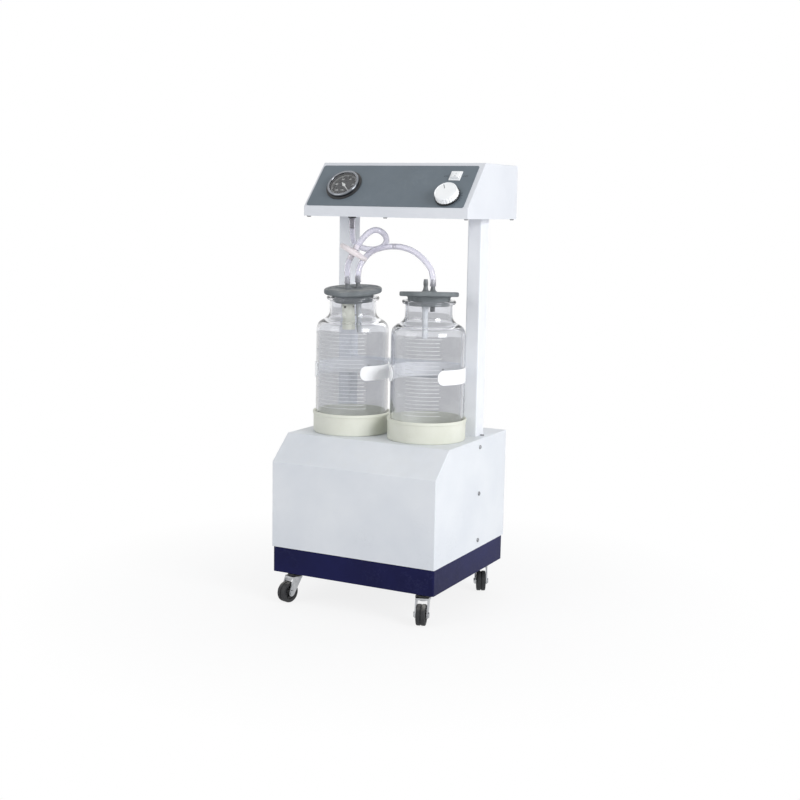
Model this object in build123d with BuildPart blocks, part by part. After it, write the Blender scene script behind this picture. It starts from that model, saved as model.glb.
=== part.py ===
from build123d import *
from math import atan2, cos, hypot, pi, radians, sin, tan
import os

os.makedirs("parts", exist_ok=True)

# Everything is in millimetres. X runs to the right, Y to the back and Z up.
# The origin is on the floor, under the middle of the whole unit.

# Clearances and sheet
gap = 0.3
fit = 0.05
sheet = 1.5

# Lower body
body_width = 350
body_depth = 321.5
body_mid_y = -5
floor_clearance = 60
tray_height = 49.8
tray_lap = 24
casing_height = 215.6
casing_knee_drop = 48.4
casing_brow_run = 55
tray_corner = 4
body_front = body_mid_y - body_depth / 2
body_back = body_mid_y + body_depth / 2
casing_bottom = floor_clearance + tray_height
casing_top = casing_bottom + casing_height
tray_floor = floor_clearance + sheet
tray_top = casing_bottom + tray_lap
tray_width = body_width - 2 * (sheet + gap)
tray_depth = body_depth - 2 * (sheet + gap)

# Columns
column_width = 29
column_depth = 36
column_wall = 1.5
column_x = 142
column_y = 67.6
column_height = 420
column_corner = 3
column_base = casing_top
column_top = column_base + column_height

# Head
head_reach = 0.25
head_width = body_width + 2 * head_reach
head_front = -56.5
head_back = 177
head_height = 104.2
lip_height = 19.1
brow_run = 77.3
head_bottom = column_top
head_top = head_bottom + head_height
lip_top = head_bottom + lip_height
slope = atan2(head_top - lip_top, brow_run)

# Control panel on the sloping face
panel_side = 8.05
panel_width = head_width - 2 * panel_side
panel_length = 105
panel_margin = 1.2
panel_shift = -2.6
panel_thickness = 1.2
panel_corner = 4
gauge_u, gauge_v = -105.2, 53
switch_u, switch_v = 124.7, 79.3
knob_u, knob_v = 125.5, 27.5

# Gauge
gauge_can_radius = 29.7
gauge_can_depth = 28
gauge_flange_radius = 36.5
gauge_flange = 2.5
gauge_collar = 3
gauge_wall = 1.5
bezel_radius = 32.5
bezel_lip_radius = 27.8
lens_thickness = 1.4
dial_thickness = 0.8
pointer_length = 21
pointer_heel, pointer_tip = 1.4, 0.5
pointer_shaft = 0.75
stem_radius = 5

# Rocker switch
switch_size = 19
switch_rim = 2
switch_depth = 20
rocker_half = 7.4
rocker_width = 16.4
rocker_tilt = 9
rocker_pin = 1.2

# Vacuum regulator
knob_radius = 23.5
knob_height = 13.5
knob_gap = 1.5
valve_radius = 12
valve_depth = 30
neck_radius = 6
nut_radius = 9.5
spindle_radius = 3

# Jars
jar_x = 82.6
jar_y = -21
jar_radius = 71
jar_wall = 4
jar_floor = 5
jar_body = 195
jar_shoulder = 32
jar_neck = 28
jar_neck_radius = 45.5
jar_rim_radius = 52
jar_rim = 7

# Jar seats
seat_rim_radius = 76.4
seat_base_radius = 75
seat_wall = 2.6
seat_floor = 4
seat_height = 41.3
jar_bottom = casing_top + seat_floor + gap
shoulder_z = jar_bottom + jar_body
neck_z = shoulder_z + jar_shoulder
rim_z = neck_z + jar_neck
mouth_z = rim_z + jar_rim
bore_radius = jar_neck_radius - jar_wall

# Clamp bands
band_height = 28
band_thickness = 1.8
band_opening = 41.5
band_corner = 12
band_left_z = 447.5
band_right_z = 451
band_inner = jar_radius + 0.5
band_outer = band_inner + band_thickness
bar_height = 34
bar_thickness = 3
bar_z = (band_left_z + band_right_z) / 2
bar_y = jar_y + band_outer + gap

# Stoppers
disc_radius = 56.5
disc_thickness = 9
disc_lift = 6.5
plug_top_radius = 41.1
plug_mouth_radius = 40.3
plug_bottom_radius = 37.5
plug_depth = 10
nozzle_offset = 12
nozzle_radius = 4.5
nozzle_bore = 3
nozzle_top = 39
nozzle_cone_radius = 7.5
nozzle_cone_height = 6
left_lean = (0.0017, -0.098, 1)
right_lean = (-0.0323, 0.062, 1)
left_nozzle_turn = 60
right_nozzle_turn = 81
down_tube_radius = 5.4
down_tube_length = 62
cage_radius = 12.5
cage_wall = 1.8
cage_length = 50
float_radius = 9.8
float_length = 26

# Hoses and filter
hose_span = column_top - mouth_z
hose_radius = 5.9
hose_bore = nozzle_radius + fit
hose_grip = 13
port_x, port_y = -99, 0
port_length = 24
filter_radius = 30
filter_half = 4.5
filter_barb = 16
filter_centre = Vector(-74.2, -36.4, mouth_z + 0.555 * hose_span)
filter_axis = Vector(-0.44, -0.23, -0.868).normalized()

# Casters
caster_x = 140
caster_y = 132
caster_trail = 19
wheel_radius = 20
wheel_width = 18
axle_radius = 3
fork_sheet = 2.5
fork_gap = 1.2
fork_top = 50
fork_crown = 4
ring_radius = 15
stem_bolt_radius = 5
caster_turns = {"front_left": -15, "front_right": 18, "rear_left": 35, "rear_right": 27}
caster_places = {
    "front_left": (-caster_x, body_mid_y - caster_y),
    "front_right": (caster_x, body_mid_y - caster_y),
    "rear_left": (-caster_x, body_mid_y + caster_y),
    "rear_right": (caster_x, body_mid_y + caster_y),
}

# Pump
pump_y = body_mid_y
foot_radius = 12
foot_height = 20
foot_x = 95
foot_y = 50
plate_length = 230
plate_depth = 130
plate_thickness = 3
saddle_height = 12
motor_radius = 45
motor_half = 55
motor_wall = 4
rotor_radius = 28
stator_radius = motor_radius - motor_wall - fit
crankcase_length = 50
crankcase_half = 42
crankcase_bore = 36
crankcase_wall = 5
cylinder_radius = 23
cylinder_bore = 18
cylinder_height = 30
pump_head_size = 56
pump_head_height = 16
shaft_radius = 6
fan_radius = 38
fan_width = 16
plate_top = tray_floor + foot_height + plate_thickness
shaft_z = plate_top + saddle_height + motor_radius
crankcase_top = shaft_z + crankcase_half
cylinder_top = crankcase_top + cylinder_height
pump_head_top = cylinder_top + pump_head_height

# Screws
screw_radius = 2
screw_head_radius = 4
screw_head_height = 2.2
side_screw_y = 27
side_screw_z = (casing_bottom + 16, casing_bottom + 108.5, casing_top - 15.5)
head_screw_side = 7.25
head_screw_x = head_width / 2 - head_screw_side
head_screw_front = head_front + 8
head_screw_back = head_back - 8

face = Plane(
    origin=(0, head_front, lip_top),
    x_dir=(1, 0, 0),
    z_dir=(0, -sin(slope), cos(slope)),
)


def on_face(u, v, w):
    """A point u along and v up the sloping face, w in front of it."""
    return Vector(face.origin) + Vector(face.x_dir) * u + Vector(face.y_dir) * v + Vector(face.z_dir) * w


def folded_outline(front, back, bottom, top, knee_z, brow_y, wall):
    """Corners of a box with its upper front edge cut off, seen from the side and drawn in by a wall."""
    run, rise = brow_y - front, top - knee_z
    length = hypot(run, rise)
    knee = knee_z - wall * (1 - rise / length) / (run / length)
    brow = brow_y + wall * (1 - run / length) / (rise / length)
    return [
        (front + wall, bottom),
        (front + wall, knee),
        (brow, top - wall),
        (back - wall, top - wall),
        (back - wall, bottom),
    ]


def pan_screw(place, direction, length):
    """A pan-head screw: its head stands on the place and its shank runs against the direction."""
    with BuildPart(Plane(origin=place, z_dir=direction)) as screw:
        Cylinder(screw_radius, length, align=(Align.CENTER, Align.CENTER, Align.MAX))
        Cylinder(screw_head_radius, screw_head_height, align=(Align.CENTER, Align.CENTER, Align.MIN))
        chamfer(screw.edges().sort_by(Axis(place, direction))[-1], 0.8)
    return screw.part


def arc_radii(points, cap, share=0.45):
    """The largest radius, up to the cap, that the two runs beside each corner of a route allow."""
    radii = []
    for before, corner, after in zip(points, points[1:], points[2:]):
        arriving, leaving = corner - before, after - corner
        half_turn = radians(arriving.get_angle(leaving)) / 2
        radii.append(min(cap, share * min(arriving.length, leaving.length) / tan(half_turn)))
    return radii


def hose(name, points, outer, inner, cap=500):
    """A tube of straight runs and tangent arcs along the points."""
    points = [Vector(*point) for point in points]
    radii = arc_radii(points, cap)
    with BuildPart() as tube:
        with BuildLine() as route:
            FilletPolyline(*points, radius=radii)
        with BuildSketch(Plane(origin=points[0], z_dir=points[1] - points[0])):
            Circle(outer)
            Circle(inner, mode=Mode.SUBTRACT)
        sweep(path=route.wire())
    length = route.wire().length
    share = tube.part.volume / (pi * (outer**2 - inner**2) * length)
    print(name, "length", round(length), "radii", [round(r) for r in radii], "volume share", round(share, 4))
    return tube.part


# Base tray: a folded pan that carries the casters and reaches up inside the casing
with BuildPart() as base_tray:
    with BuildSketch(Plane.XY.offset(floor_clearance)):
        with Locations((0, body_mid_y)):
            RectangleRounded(tray_width, tray_depth, tray_corner)
    extrude(amount=tray_height + tray_lap)
    with BuildSketch(Plane.XY.offset(tray_floor)):
        with Locations((0, body_mid_y)):
            RectangleRounded(tray_width - 2 * sheet, tray_depth - 2 * sheet, tray_corner - sheet)
    extrude(amount=tray_height + tray_lap, mode=Mode.SUBTRACT)
    with BuildSketch(Plane.XY.offset(floor_clearance)):
        with Locations(*caster_places.values()):
            Circle(stem_bolt_radius + fit)
    extrude(amount=sheet, mode=Mode.SUBTRACT)
    with BuildSketch(Plane.YZ):
        with Locations((side_screw_y, side_screw_z[0])):
            Circle(screw_radius + fit)
    extrude(amount=body_width, both=True, mode=Mode.SUBTRACT)
base_tray.part.label = "base_tray"
export_step(base_tray.part, "parts/base_tray.step")

# Casing: one folded sheet shell, open below, with a service opening in its back
knee_z = casing_top - casing_knee_drop
brow_y = body_front + casing_brow_run
opening_width = body_width - 50
opening_bottom = tray_top + 10
opening_top = casing_top - 22
opening_mid_z = (opening_bottom + opening_top) / 2
cover_margin = 12
cover_width = opening_width + 2 * cover_margin
cover_height = opening_top - opening_bottom + 2 * cover_margin
cover_screw_x = opening_width / 2 + cover_margin / 2
cover_screw_z = (opening_bottom - cover_margin / 2, opening_mid_z, opening_top + cover_margin / 2)
post_screw_x = column_x + column_width / 2 + 5
post_screw_y = 67
column_bolt_y = column_y - 8
line_y = column_y + 8.4
line_x = -column_x
line_radius = 4.5
line_bore = 3.55
line_hole = line_radius + 0.6
casing_outside = folded_outline(body_front, body_back, casing_bottom, casing_top, knee_z, brow_y, 0)
casing_inside = folded_outline(body_front, body_back, casing_bottom - 1, casing_top, knee_z, brow_y, sheet)
with BuildPart() as casing_wrap:
    with BuildSketch(Plane.YZ):
        with BuildLine():
            Polyline(*casing_outside, close=True)
        make_face()
    extrude(amount=body_width / 2, both=True)
    bends = casing_wrap.edges().filter_by(lambda edge: edge.center().Z > casing_bottom + 1)
    fillet(bends.filter_by(lambda edge: edge.center().Y < body_back - 1), 2)
    with BuildSketch(Plane.YZ):
        with BuildLine():
            Polyline(*casing_inside, close=True)
        make_face()
    extrude(amount=body_width / 2 - sheet, both=True, mode=Mode.SUBTRACT)
    with BuildSketch(Plane.XZ.offset(-body_back)):
        with Locations((0, opening_mid_z)):
            Rectangle(opening_width, opening_top - opening_bottom)
        with Locations(*[(side * cover_screw_x, z) for side in (-1, 1) for z in cover_screw_z]):
            Circle(screw_radius + fit)
    extrude(amount=sheet, mode=Mode.SUBTRACT)
    with BuildSketch(Plane.YZ):
        with Locations(*[(side_screw_y, z) for z in side_screw_z]):
            Circle(screw_radius + fit)
    extrude(amount=body_width, both=True, mode=Mode.SUBTRACT)
    with BuildSketch(Plane.XY.offset(casing_top)):
        with Locations(*[(side * jar_x, jar_y) for side in (-1, 1)]):
            Circle(screw_radius + fit)
        with Locations(*[(side * post_screw_x, post_screw_y) for side in (-1, 1)]):
            Circle(screw_radius + fit)
        with Locations(*[(side * column_x, column_bolt_y) for side in (-1, 1)]):
            Circle(spindle_radius + fit)
        with Locations((line_x, line_y)):
            Circle(line_hole)
    extrude(amount=-sheet, mode=Mode.SUBTRACT)
casing_wrap.part.label = "casing_wrap"
export_step(casing_wrap.part, "parts/casing_wrap.step")

# Rear cover with its cooling slots, mains inlet and fuse
inlet_side, inlet_rise = 67, 36
inlet_x, inlet_z = cover_width / 2 - inlet_side, opening_bottom + inlet_rise
inlet_width, inlet_height = 48, 28
fuse_rise = 44
fuse_z = inlet_z + fuse_rise
fuse_radius = 6.2
slot_length, slot_width, slot_pitch = 78, 4, 13
slot_rows, slot_bridge, slot_side = 9, 14, 102
slots_x = slot_side - cover_width / 2
with BuildPart() as rear_cover:
    with BuildSketch(Plane.XZ.offset(-body_back)):
        with Locations((0, opening_mid_z)):
            RectangleRounded(cover_width, cover_height, 4)
        with Locations((slots_x, opening_mid_z)):
            with GridLocations(slot_length + slot_bridge, slot_pitch, 2, slot_rows):
                SlotOverall(slot_length, slot_width, mode=Mode.SUBTRACT)
        with Locations((inlet_x, inlet_z)):
            Rectangle(inlet_width + gap, inlet_height + gap, mode=Mode.SUBTRACT)
        with Locations((inlet_x, fuse_z)):
            Circle(fuse_radius + fit, mode=Mode.SUBTRACT)
        with Locations(*[(side * cover_screw_x, z) for side in (-1, 1) for z in cover_screw_z]):
            Circle(screw_radius + fit, mode=Mode.SUBTRACT)
    extrude(amount=-sheet)
rear_cover.part.label = "rear_cover"
export_step(rear_cover.part, "parts/rear_cover.step")

# Mains inlet and fuse holder
cover_back = body_back + sheet
inlet_flange = 2.5
inlet_recess = 18
inlet_depth = 24
inlet_rim, inlet_brim = 5, 4
socket_width, socket_height = 25, 17
pin_length = 14
pin_spread, pin_drop, earth_rise = 7, 2, 3
pin_width, pin_height = 2, 4
pin_floor = cover_back + inlet_flange - inlet_recess
with BuildPart() as power_inlet:
    with BuildSketch(Plane.XZ.offset(-cover_back)):
        with Locations((inlet_x, inlet_z)):
            RectangleRounded(inlet_width + 2 * inlet_rim, inlet_height + 2 * inlet_brim, 3)
    extrude(amount=-inlet_flange)
    with BuildSketch(Plane.XZ.offset(-cover_back)):
        with Locations((inlet_x, inlet_z)):
            Rectangle(inlet_width, inlet_height)
    extrude(amount=inlet_depth)
    with BuildSketch(Plane.XZ.offset(-cover_back - inlet_flange)):
        with Locations((inlet_x, inlet_z)):
            RectangleRounded(socket_width, socket_height, 3)
    extrude(amount=inlet_recess, mode=Mode.SUBTRACT)
    with BuildSketch(Plane.XZ.offset(-pin_floor)):
        with Locations(
            (inlet_x - pin_spread, inlet_z - pin_drop),
            (inlet_x, inlet_z + earth_rise),
            (inlet_x + pin_spread, inlet_z - pin_drop),
        ):
            Rectangle(pin_width, pin_height)
    extrude(amount=-pin_length)
power_inlet.part.label = "power_inlet"
export_step(power_inlet.part, "parts/power_inlet.step")

fuse_cap_radius, fuse_cap_height, fuse_depth = 8.5, 5, 30
fuse_slot_length, fuse_slot_width, fuse_slot_depth = 9, 1.6, 2
with BuildPart() as fuse_holder:
    with BuildSketch(Plane.XZ.offset(-cover_back)):
        with Locations((inlet_x, fuse_z)):
            Circle(fuse_cap_radius)
    extrude(amount=-fuse_cap_height)
    with BuildSketch(Plane.XZ.offset(-cover_back)):
        with Locations((inlet_x, fuse_z)):
            Circle(fuse_radius)
    extrude(amount=fuse_depth)
    with BuildSketch(Plane.XZ.offset(-cover_back - fuse_cap_height)):
        with Locations((inlet_x, fuse_z)):
            Rectangle(fuse_slot_length, fuse_slot_width)
    extrude(amount=fuse_slot_depth, mode=Mode.SUBTRACT)
fuse_holder.part.label = "fuse_holder"
export_step(fuse_holder.part, "parts/fuse_holder.step")

# Inner posts: folded channels that carry the columns' load down to the tray
post_sheet = 2
post_outer = tray_width / 2 - sheet - gap
post_inner = column_x - column_width / 2 - 2
post_depth = 74
post_mid_y = column_y - 14
post_top = casing_top - sheet
with BuildPart() as inner_posts:
    for side in (-1, 1):
        with BuildSketch(Plane.XY.offset(tray_floor)):
            with Locations((side * (post_outer + post_inner) / 2, post_mid_y)):
                Rectangle(post_outer - post_inner, post_depth)
        extrude(amount=post_top - tray_floor)
        with BuildSketch(Plane.XY.offset(tray_floor + post_sheet)):
            with Locations((side * ((post_outer + post_inner) / 2 - post_sheet), post_mid_y)):
                Rectangle(post_outer - post_inner, post_depth - 2 * post_sheet)
        extrude(amount=post_top - tray_floor - 2 * post_sheet, mode=Mode.SUBTRACT)
        with BuildSketch(Plane.XY.offset(post_top)):
            with Locations((side * post_screw_x, post_screw_y)):
                Circle(screw_radius + fit)
            with Locations((side * column_x, column_bolt_y)):
                Circle(spindle_radius + fit)
            with Locations((side * column_x, line_y)):
                Circle(line_hole)
        extrude(amount=-post_sheet, mode=Mode.SUBTRACT)
    with BuildSketch(Plane.YZ):
        with Locations(*[(side_screw_y, z) for z in side_screw_z]):
            Circle(screw_radius + fit)
    extrude(amount=body_width, both=True, mode=Mode.SUBTRACT)
inner_posts.part.label = "inner_posts"
export_step(inner_posts.part, "parts/inner_posts.step")

# Columns: two rectangular tubes with a plug in each end for the bolts
with BuildPart() as columns:
    with BuildSketch(Plane.XY.offset(column_base)):
        with Locations(*[(side * column_x, column_y) for side in (-1, 1)]):
            RectangleRounded(column_width, column_depth, column_corner)
            RectangleRounded(
                column_width - 2 * column_wall,
                column_depth - 2 * column_wall,
                column_corner - column_wall,
                mode=Mode.SUBTRACT,
            )
    extrude(amount=column_height)
    with BuildSketch(Plane.YZ):
        with Locations((column_y, bar_z)):
            Circle(screw_radius + fit)
    extrude(amount=column_x, both=True, mode=Mode.SUBTRACT)
columns.part.label = "columns"
export_step(columns.part, "parts/columns.step")

plug_length = 16
column_plug_width = column_width - 2 * (column_wall + fit)
column_plug_depth = column_depth - 2 * (column_wall + fit)
with BuildPart() as column_plugs:
    for plug_z in (column_base, column_top - plug_length):
        with BuildSketch(Plane.XY.offset(plug_z)):
            for side in (-1, 1):
                with Locations((side * column_x, column_y)):
                    Rectangle(column_plug_width, column_plug_depth)
                with Locations((side * column_x, column_bolt_y)):
                    Circle(spindle_radius + fit, mode=Mode.SUBTRACT)
                with Locations((side * column_x, line_y)):
                    Circle(line_hole, mode=Mode.SUBTRACT)
        extrude(amount=plug_length)
    chamfer(column_plugs.edges().filter_by(Axis.Z).filter_by(GeomType.LINE), column_corner - column_wall)
column_plugs.part.label = "column_plugs"
export_step(column_plugs.part, "parts/column_plugs.step")

bolt_head_radius = 5
bolt_head_height = 4
plate_above = head_bottom + sheet
with BuildPart() as column_bolts:
    for side in (-1, 1):
        for seat_z, way in ((post_top - post_sheet, 1), (plate_above, -1)):
            with BuildSketch(Plane.XY.offset(seat_z)):
                with Locations((side * column_x, column_bolt_y)):
                    RegularPolygon(bolt_head_radius, 6)
            extrude(amount=-way * bolt_head_height)
            with BuildSketch(Plane.XY.offset(seat_z)):
                with Locations((side * column_x, column_bolt_y)):
                    Circle(spindle_radius)
            extrude(amount=way * (plug_length + sheet + post_sheet - 2))
column_bolts.part.label = "column_bolts"
export_step(column_bolts.part, "parts/column_bolts.step")

# Jar seats: shallow round cups on the casing, each held by one screw
seat_bore_base = jar_radius + 1.2
seat_bore_rim = seat_rim_radius - seat_wall
with BuildPart() as jar_seat:
    with BuildSketch(Plane.XZ):
        with BuildLine():
            Polyline(
                (0, casing_top),
                (seat_base_radius - 1.5, casing_top),
                (seat_base_radius, casing_top + 1.5),
                (seat_rim_radius, casing_top + seat_height - 1.5),
                (seat_rim_radius - 1, casing_top + seat_height),
                (seat_bore_rim, casing_top + seat_height),
                (seat_bore_base, casing_top + seat_floor + 3),
                (seat_bore_base - 3, casing_top + seat_floor),
                (0, casing_top + seat_floor),
                close=True,
            )
        make_face()
    revolve(axis=Axis.Z)
    with BuildSketch(Plane.XY.offset(casing_top + seat_floor)):
        Circle(screw_head_radius + gap)
    extrude(amount=-screw_head_height - gap, mode=Mode.SUBTRACT)
    with BuildSketch(Plane.XY.offset(casing_top)):
        Circle(screw_radius + fit)
    extrude(amount=seat_floor, mode=Mode.SUBTRACT)
with BuildPart() as jar_seats:
    for side in (-1, 1):
        add(jar_seat.part.moved(Location((side * jar_x, jar_y, 0))))
jar_seats.part.label = "jar_seats"
export_step(jar_seats.part, "parts/jar_seats.step")

# Jars: blown glass, drawn as one turned wall with a rolled rim
with BuildPart() as jar:
    with BuildSketch(Plane.XZ):
        with BuildLine():
            Line((0, jar_bottom), (jar_radius - 8, jar_bottom))
            Bezier((jar_radius - 8, jar_bottom), (jar_radius, jar_bottom), (jar_radius, jar_bottom + 8))
            Line((jar_radius, jar_bottom + 8), (jar_radius, shoulder_z))
            Bezier(
                (jar_radius, shoulder_z),
                (jar_radius, shoulder_z + jar_shoulder * 0.5),
                (jar_neck_radius + 16, neck_z - 14),
                (jar_neck_radius, neck_z),
            )
            Line((jar_neck_radius, neck_z), (jar_neck_radius, rim_z))
            Line((jar_neck_radius, rim_z), (jar_rim_radius - 2, rim_z))
            Bezier(
                (jar_rim_radius - 2, rim_z),
                (jar_rim_radius + 1, rim_z + jar_rim / 2),
                (jar_rim_radius - 2, mouth_z),
            )
            Line((jar_rim_radius - 2, mouth_z), (bore_radius, mouth_z))
            Line((bore_radius, mouth_z), (bore_radius, neck_z - 1))
            Bezier(
                (bore_radius, neck_z - 1),
                (bore_radius + 15, neck_z - 17),
                (jar_radius - jar_wall, shoulder_z + jar_shoulder * 0.4),
                (jar_radius - jar_wall, shoulder_z - 1),
            )
            Line((jar_radius - jar_wall, shoulder_z - 1), (jar_radius - jar_wall, jar_bottom + jar_floor + 6))
            Bezier(
                (jar_radius - jar_wall, jar_bottom + jar_floor + 6),
                (jar_radius - jar_wall, jar_bottom + jar_floor),
                (jar_radius - jar_wall - 6, jar_bottom + jar_floor),
            )
            Line((jar_radius - jar_wall - 6, jar_bottom + jar_floor), (0, jar_bottom + jar_floor))
            Line((0, jar_bottom + jar_floor), (0, jar_bottom))
        make_face()
    revolve(axis=Axis.Z)
for side, name in ((-1, "jar_left"), (1, "jar_right")):
    placed_jar = jar.part.moved(Location((side * jar_x, jar_y, 0)))
    placed_jar.label = name
    export_step(placed_jar, f"parts/{name}.step")

# Clamp bands: sheet C-bands round the jars' backs, open to the front, on one cross bar
band_places = [(-jar_x, band_left_z), (jar_x, band_right_z)]
band_solids = []
for band_x, band_z in band_places:
    with BuildPart() as band:
        with BuildSketch(Plane.XY.offset(band_z - band_height / 2)):
            with Locations((band_x, jar_y)):
                Circle(band_outer)
                Circle(band_inner, mode=Mode.SUBTRACT)
            with BuildLine():
                reach = 2 * band_outer
                spread = reach * tan(radians(band_opening))
                wedge_y = jar_y - reach
                Polyline((band_x, jar_y), (band_x - spread, wedge_y), (band_x + spread, wedge_y), close=True)
            make_face(mode=Mode.SUBTRACT)
        extrude(amount=band_height)
        ends = band.faces().filter_by(GeomType.PLANE).sort_by(Axis.Y)[:2]
        fillet(ends.edges().filter_by(lambda edge: abs(edge.tangent_at(0).Z) < 0.1), band_corner)
        with BuildSketch(Plane.XZ.offset(-bar_y)):
            with Locations((band_x, band_z)):
                Circle(screw_radius + fit)
        extrude(amount=band_thickness * 2, mode=Mode.SUBTRACT)
    band_solids.append(band.part)
with BuildPart() as clamp_bands:
    add(band_solids)
clamp_bands.part.label = "clamp_bands"
export_step(clamp_bands.part, "parts/clamp_bands.step")

bar_half = column_x - column_width / 2
tab_length = 26
tab_x = bar_half - bar_thickness / 2
with BuildPart() as clamp_bar:
    with BuildSketch(Plane.XY.offset(bar_z - bar_height / 2)):
        with Locations((0, bar_y + bar_thickness / 2)):
            Rectangle(2 * bar_half, bar_thickness)
        with Locations(*[(side * tab_x, bar_y + tab_length / 2) for side in (-1, 1)]):
            Rectangle(bar_thickness, tab_length)
    extrude(amount=bar_height)
    with BuildSketch(Plane.XZ.offset(-bar_y)):
        with Locations(*band_places):
            Circle(screw_radius + fit)
    extrude(amount=-bar_thickness, mode=Mode.SUBTRACT)
    with BuildSketch(Plane.YZ):
        with Locations((column_y, bar_z)):
            Circle(screw_radius + fit)
    extrude(amount=body_width, both=True, mode=Mode.SUBTRACT)
clamp_bar.part.label = "clamp_bar"
export_step(clamp_bar.part, "parts/clamp_bar.step")

# Head: a folded shell with a sloping face, closed below by a plate
head_mid_y = (head_front + head_back) / 2
head_depth = head_back - head_front
head_brow = head_front + brow_run
head_flange = 14
head_screw_rows = (head_screw_front, head_screw_back)
head_screw_places = [(x, y) for x in (-head_screw_x, 0, head_screw_x) for y in head_screw_rows]
head_floor = head_bottom + 2 * sheet
head_outside = folded_outline(head_front, head_back, head_bottom, head_top, lip_top, head_brow, 0)
head_inside = folded_outline(head_front, head_back, head_floor, head_top, lip_top, head_brow, sheet)
with BuildPart() as head_shell:
    with BuildSketch(Plane.YZ):
        with BuildLine():
            Polyline(*head_outside, close=True)
        make_face()
    extrude(amount=head_width / 2, both=True)
    fillet(head_shell.edges().filter_by(lambda edge: edge.center().Z > head_bottom + 1), 2)
    with BuildSketch(Plane.YZ):
        with BuildLine():
            Polyline(*head_inside, close=True)
        make_face()
    extrude(amount=head_width / 2 - sheet, both=True, mode=Mode.SUBTRACT)
    with BuildSketch(Plane.XY.offset(head_bottom)):
        with Locations((0, head_mid_y)):
            Rectangle(head_width - 2 * sheet, head_depth - 2 * sheet)
    extrude(amount=sheet, mode=Mode.SUBTRACT)
    with BuildSketch(Plane.XY.offset(head_bottom)):
        with Locations((0, head_mid_y)):
            Rectangle(head_width - 2 * head_flange, head_depth - 2 * head_flange)
        with Locations(*head_screw_places):
            Circle(screw_radius + fit)
    extrude(amount=2 * sheet, mode=Mode.SUBTRACT)
    with BuildSketch(face):
        with Locations((gauge_u, gauge_v)):
            Circle(gauge_can_radius + gap)
        with Locations((switch_u, switch_v)):
            Rectangle(switch_size + gap, switch_size + gap)
        with Locations((knob_u, knob_v)):
            Circle(neck_radius + fit)
    extrude(amount=-2 * sheet, mode=Mode.SUBTRACT)
head_shell.part.label = "head_shell"
export_step(head_shell.part, "parts/head_shell.step")

with BuildPart() as head_plate:
    with BuildSketch(Plane.XY.offset(head_bottom)):
        with Locations((0, head_mid_y)):
            Rectangle(head_width - 2 * sheet - 2 * gap, head_depth - 2 * sheet - 2 * gap)
        with Locations(*head_screw_places):
            Circle(screw_radius + fit, mode=Mode.SUBTRACT)
        with Locations(*[(side * column_x, column_bolt_y) for side in (-1, 1)]):
            Circle(spindle_radius + fit, mode=Mode.SUBTRACT)
        with Locations((line_x, line_y)):
            Circle(line_hole, mode=Mode.SUBTRACT)
        with Locations((port_x, port_y)):
            Circle(stem_radius + fit, mode=Mode.SUBTRACT)
    extrude(amount=sheet)
head_plate.part.label = "head_plate"
export_step(head_plate.part, "parts/head_plate.step")

with BuildPart() as control_panel:
    with BuildSketch(face):
        with Locations((panel_shift, panel_margin + panel_length / 2)):
            RectangleRounded(panel_width, panel_length, panel_corner)
        with Locations((gauge_u, gauge_v)):
            Circle(gauge_can_radius + gap, mode=Mode.SUBTRACT)
        with Locations((switch_u, switch_v)):
            Rectangle(switch_size + gap, switch_size + gap, mode=Mode.SUBTRACT)
        with Locations((knob_u, knob_v)):
            Circle(neck_radius + fit, mode=Mode.SUBTRACT)
    extrude(amount=panel_thickness)
control_panel.part.label = "control_panel"
export_step(control_panel.part, "parts/control_panel.step")

# Gauge
flange_top = panel_thickness + gauge_flange
collar_top = flange_top + gauge_collar
collar_radius = gauge_can_radius + gap
dial_radius = gauge_can_radius - gauge_wall - gap
with BuildPart() as gauge_case:
    with BuildSketch(face.offset(-gauge_can_depth)):
        with Locations((gauge_u, gauge_v)):
            Circle(gauge_can_radius)
    extrude(amount=gauge_can_depth + flange_top)
    with BuildSketch(face.offset(panel_thickness)):
        with Locations((gauge_u, gauge_v)):
            Circle(gauge_flange_radius)
    extrude(amount=gauge_flange)
    with BuildSketch(face.offset(flange_top)):
        with Locations((gauge_u, gauge_v)):
            Circle(collar_radius)
    extrude(amount=gauge_collar)
    with BuildSketch(face):
        with Locations((gauge_u, gauge_v)):
            Circle(dial_radius + gap / 2)
    extrude(amount=collar_top, mode=Mode.SUBTRACT)
    with BuildSketch(face.offset(gauge_wall - gauge_can_depth)):
        with Locations((gauge_u, gauge_v)):
            Circle(dial_radius - 2)
    extrude(amount=gauge_can_depth, mode=Mode.SUBTRACT)
    with BuildSketch(face.offset(-gauge_can_depth)):
        with Locations((gauge_u, gauge_v)):
            Circle(stem_radius + fit)
    extrude(amount=gauge_wall, mode=Mode.SUBTRACT)
gauge_case.part.label = "gauge_case"
export_step(gauge_case.part, "parts/gauge_case.step")

lens_bottom = collar_top + 0.1
lip_bottom = lens_bottom + lens_thickness + 0.1
with BuildPart() as gauge_bezel:
    with BuildSketch(face.offset(flange_top)):
        with Locations((gauge_u, gauge_v)):
            Circle(bezel_radius)
            Circle(collar_radius + fit, mode=Mode.SUBTRACT)
    extrude(amount=lip_bottom - flange_top)
    with BuildSketch(face.offset(lip_bottom)):
        with Locations((gauge_u, gauge_v)):
            Circle(bezel_radius)
            Circle(bezel_lip_radius, mode=Mode.SUBTRACT)
    extrude(amount=gauge_wall)
    chamfer(gauge_bezel.edges().group_by(Axis(face.origin, face.z_dir))[-1], 0.7)
gauge_bezel.part.label = "gauge_bezel"
export_step(gauge_bezel.part, "parts/gauge_bezel.step")

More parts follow.
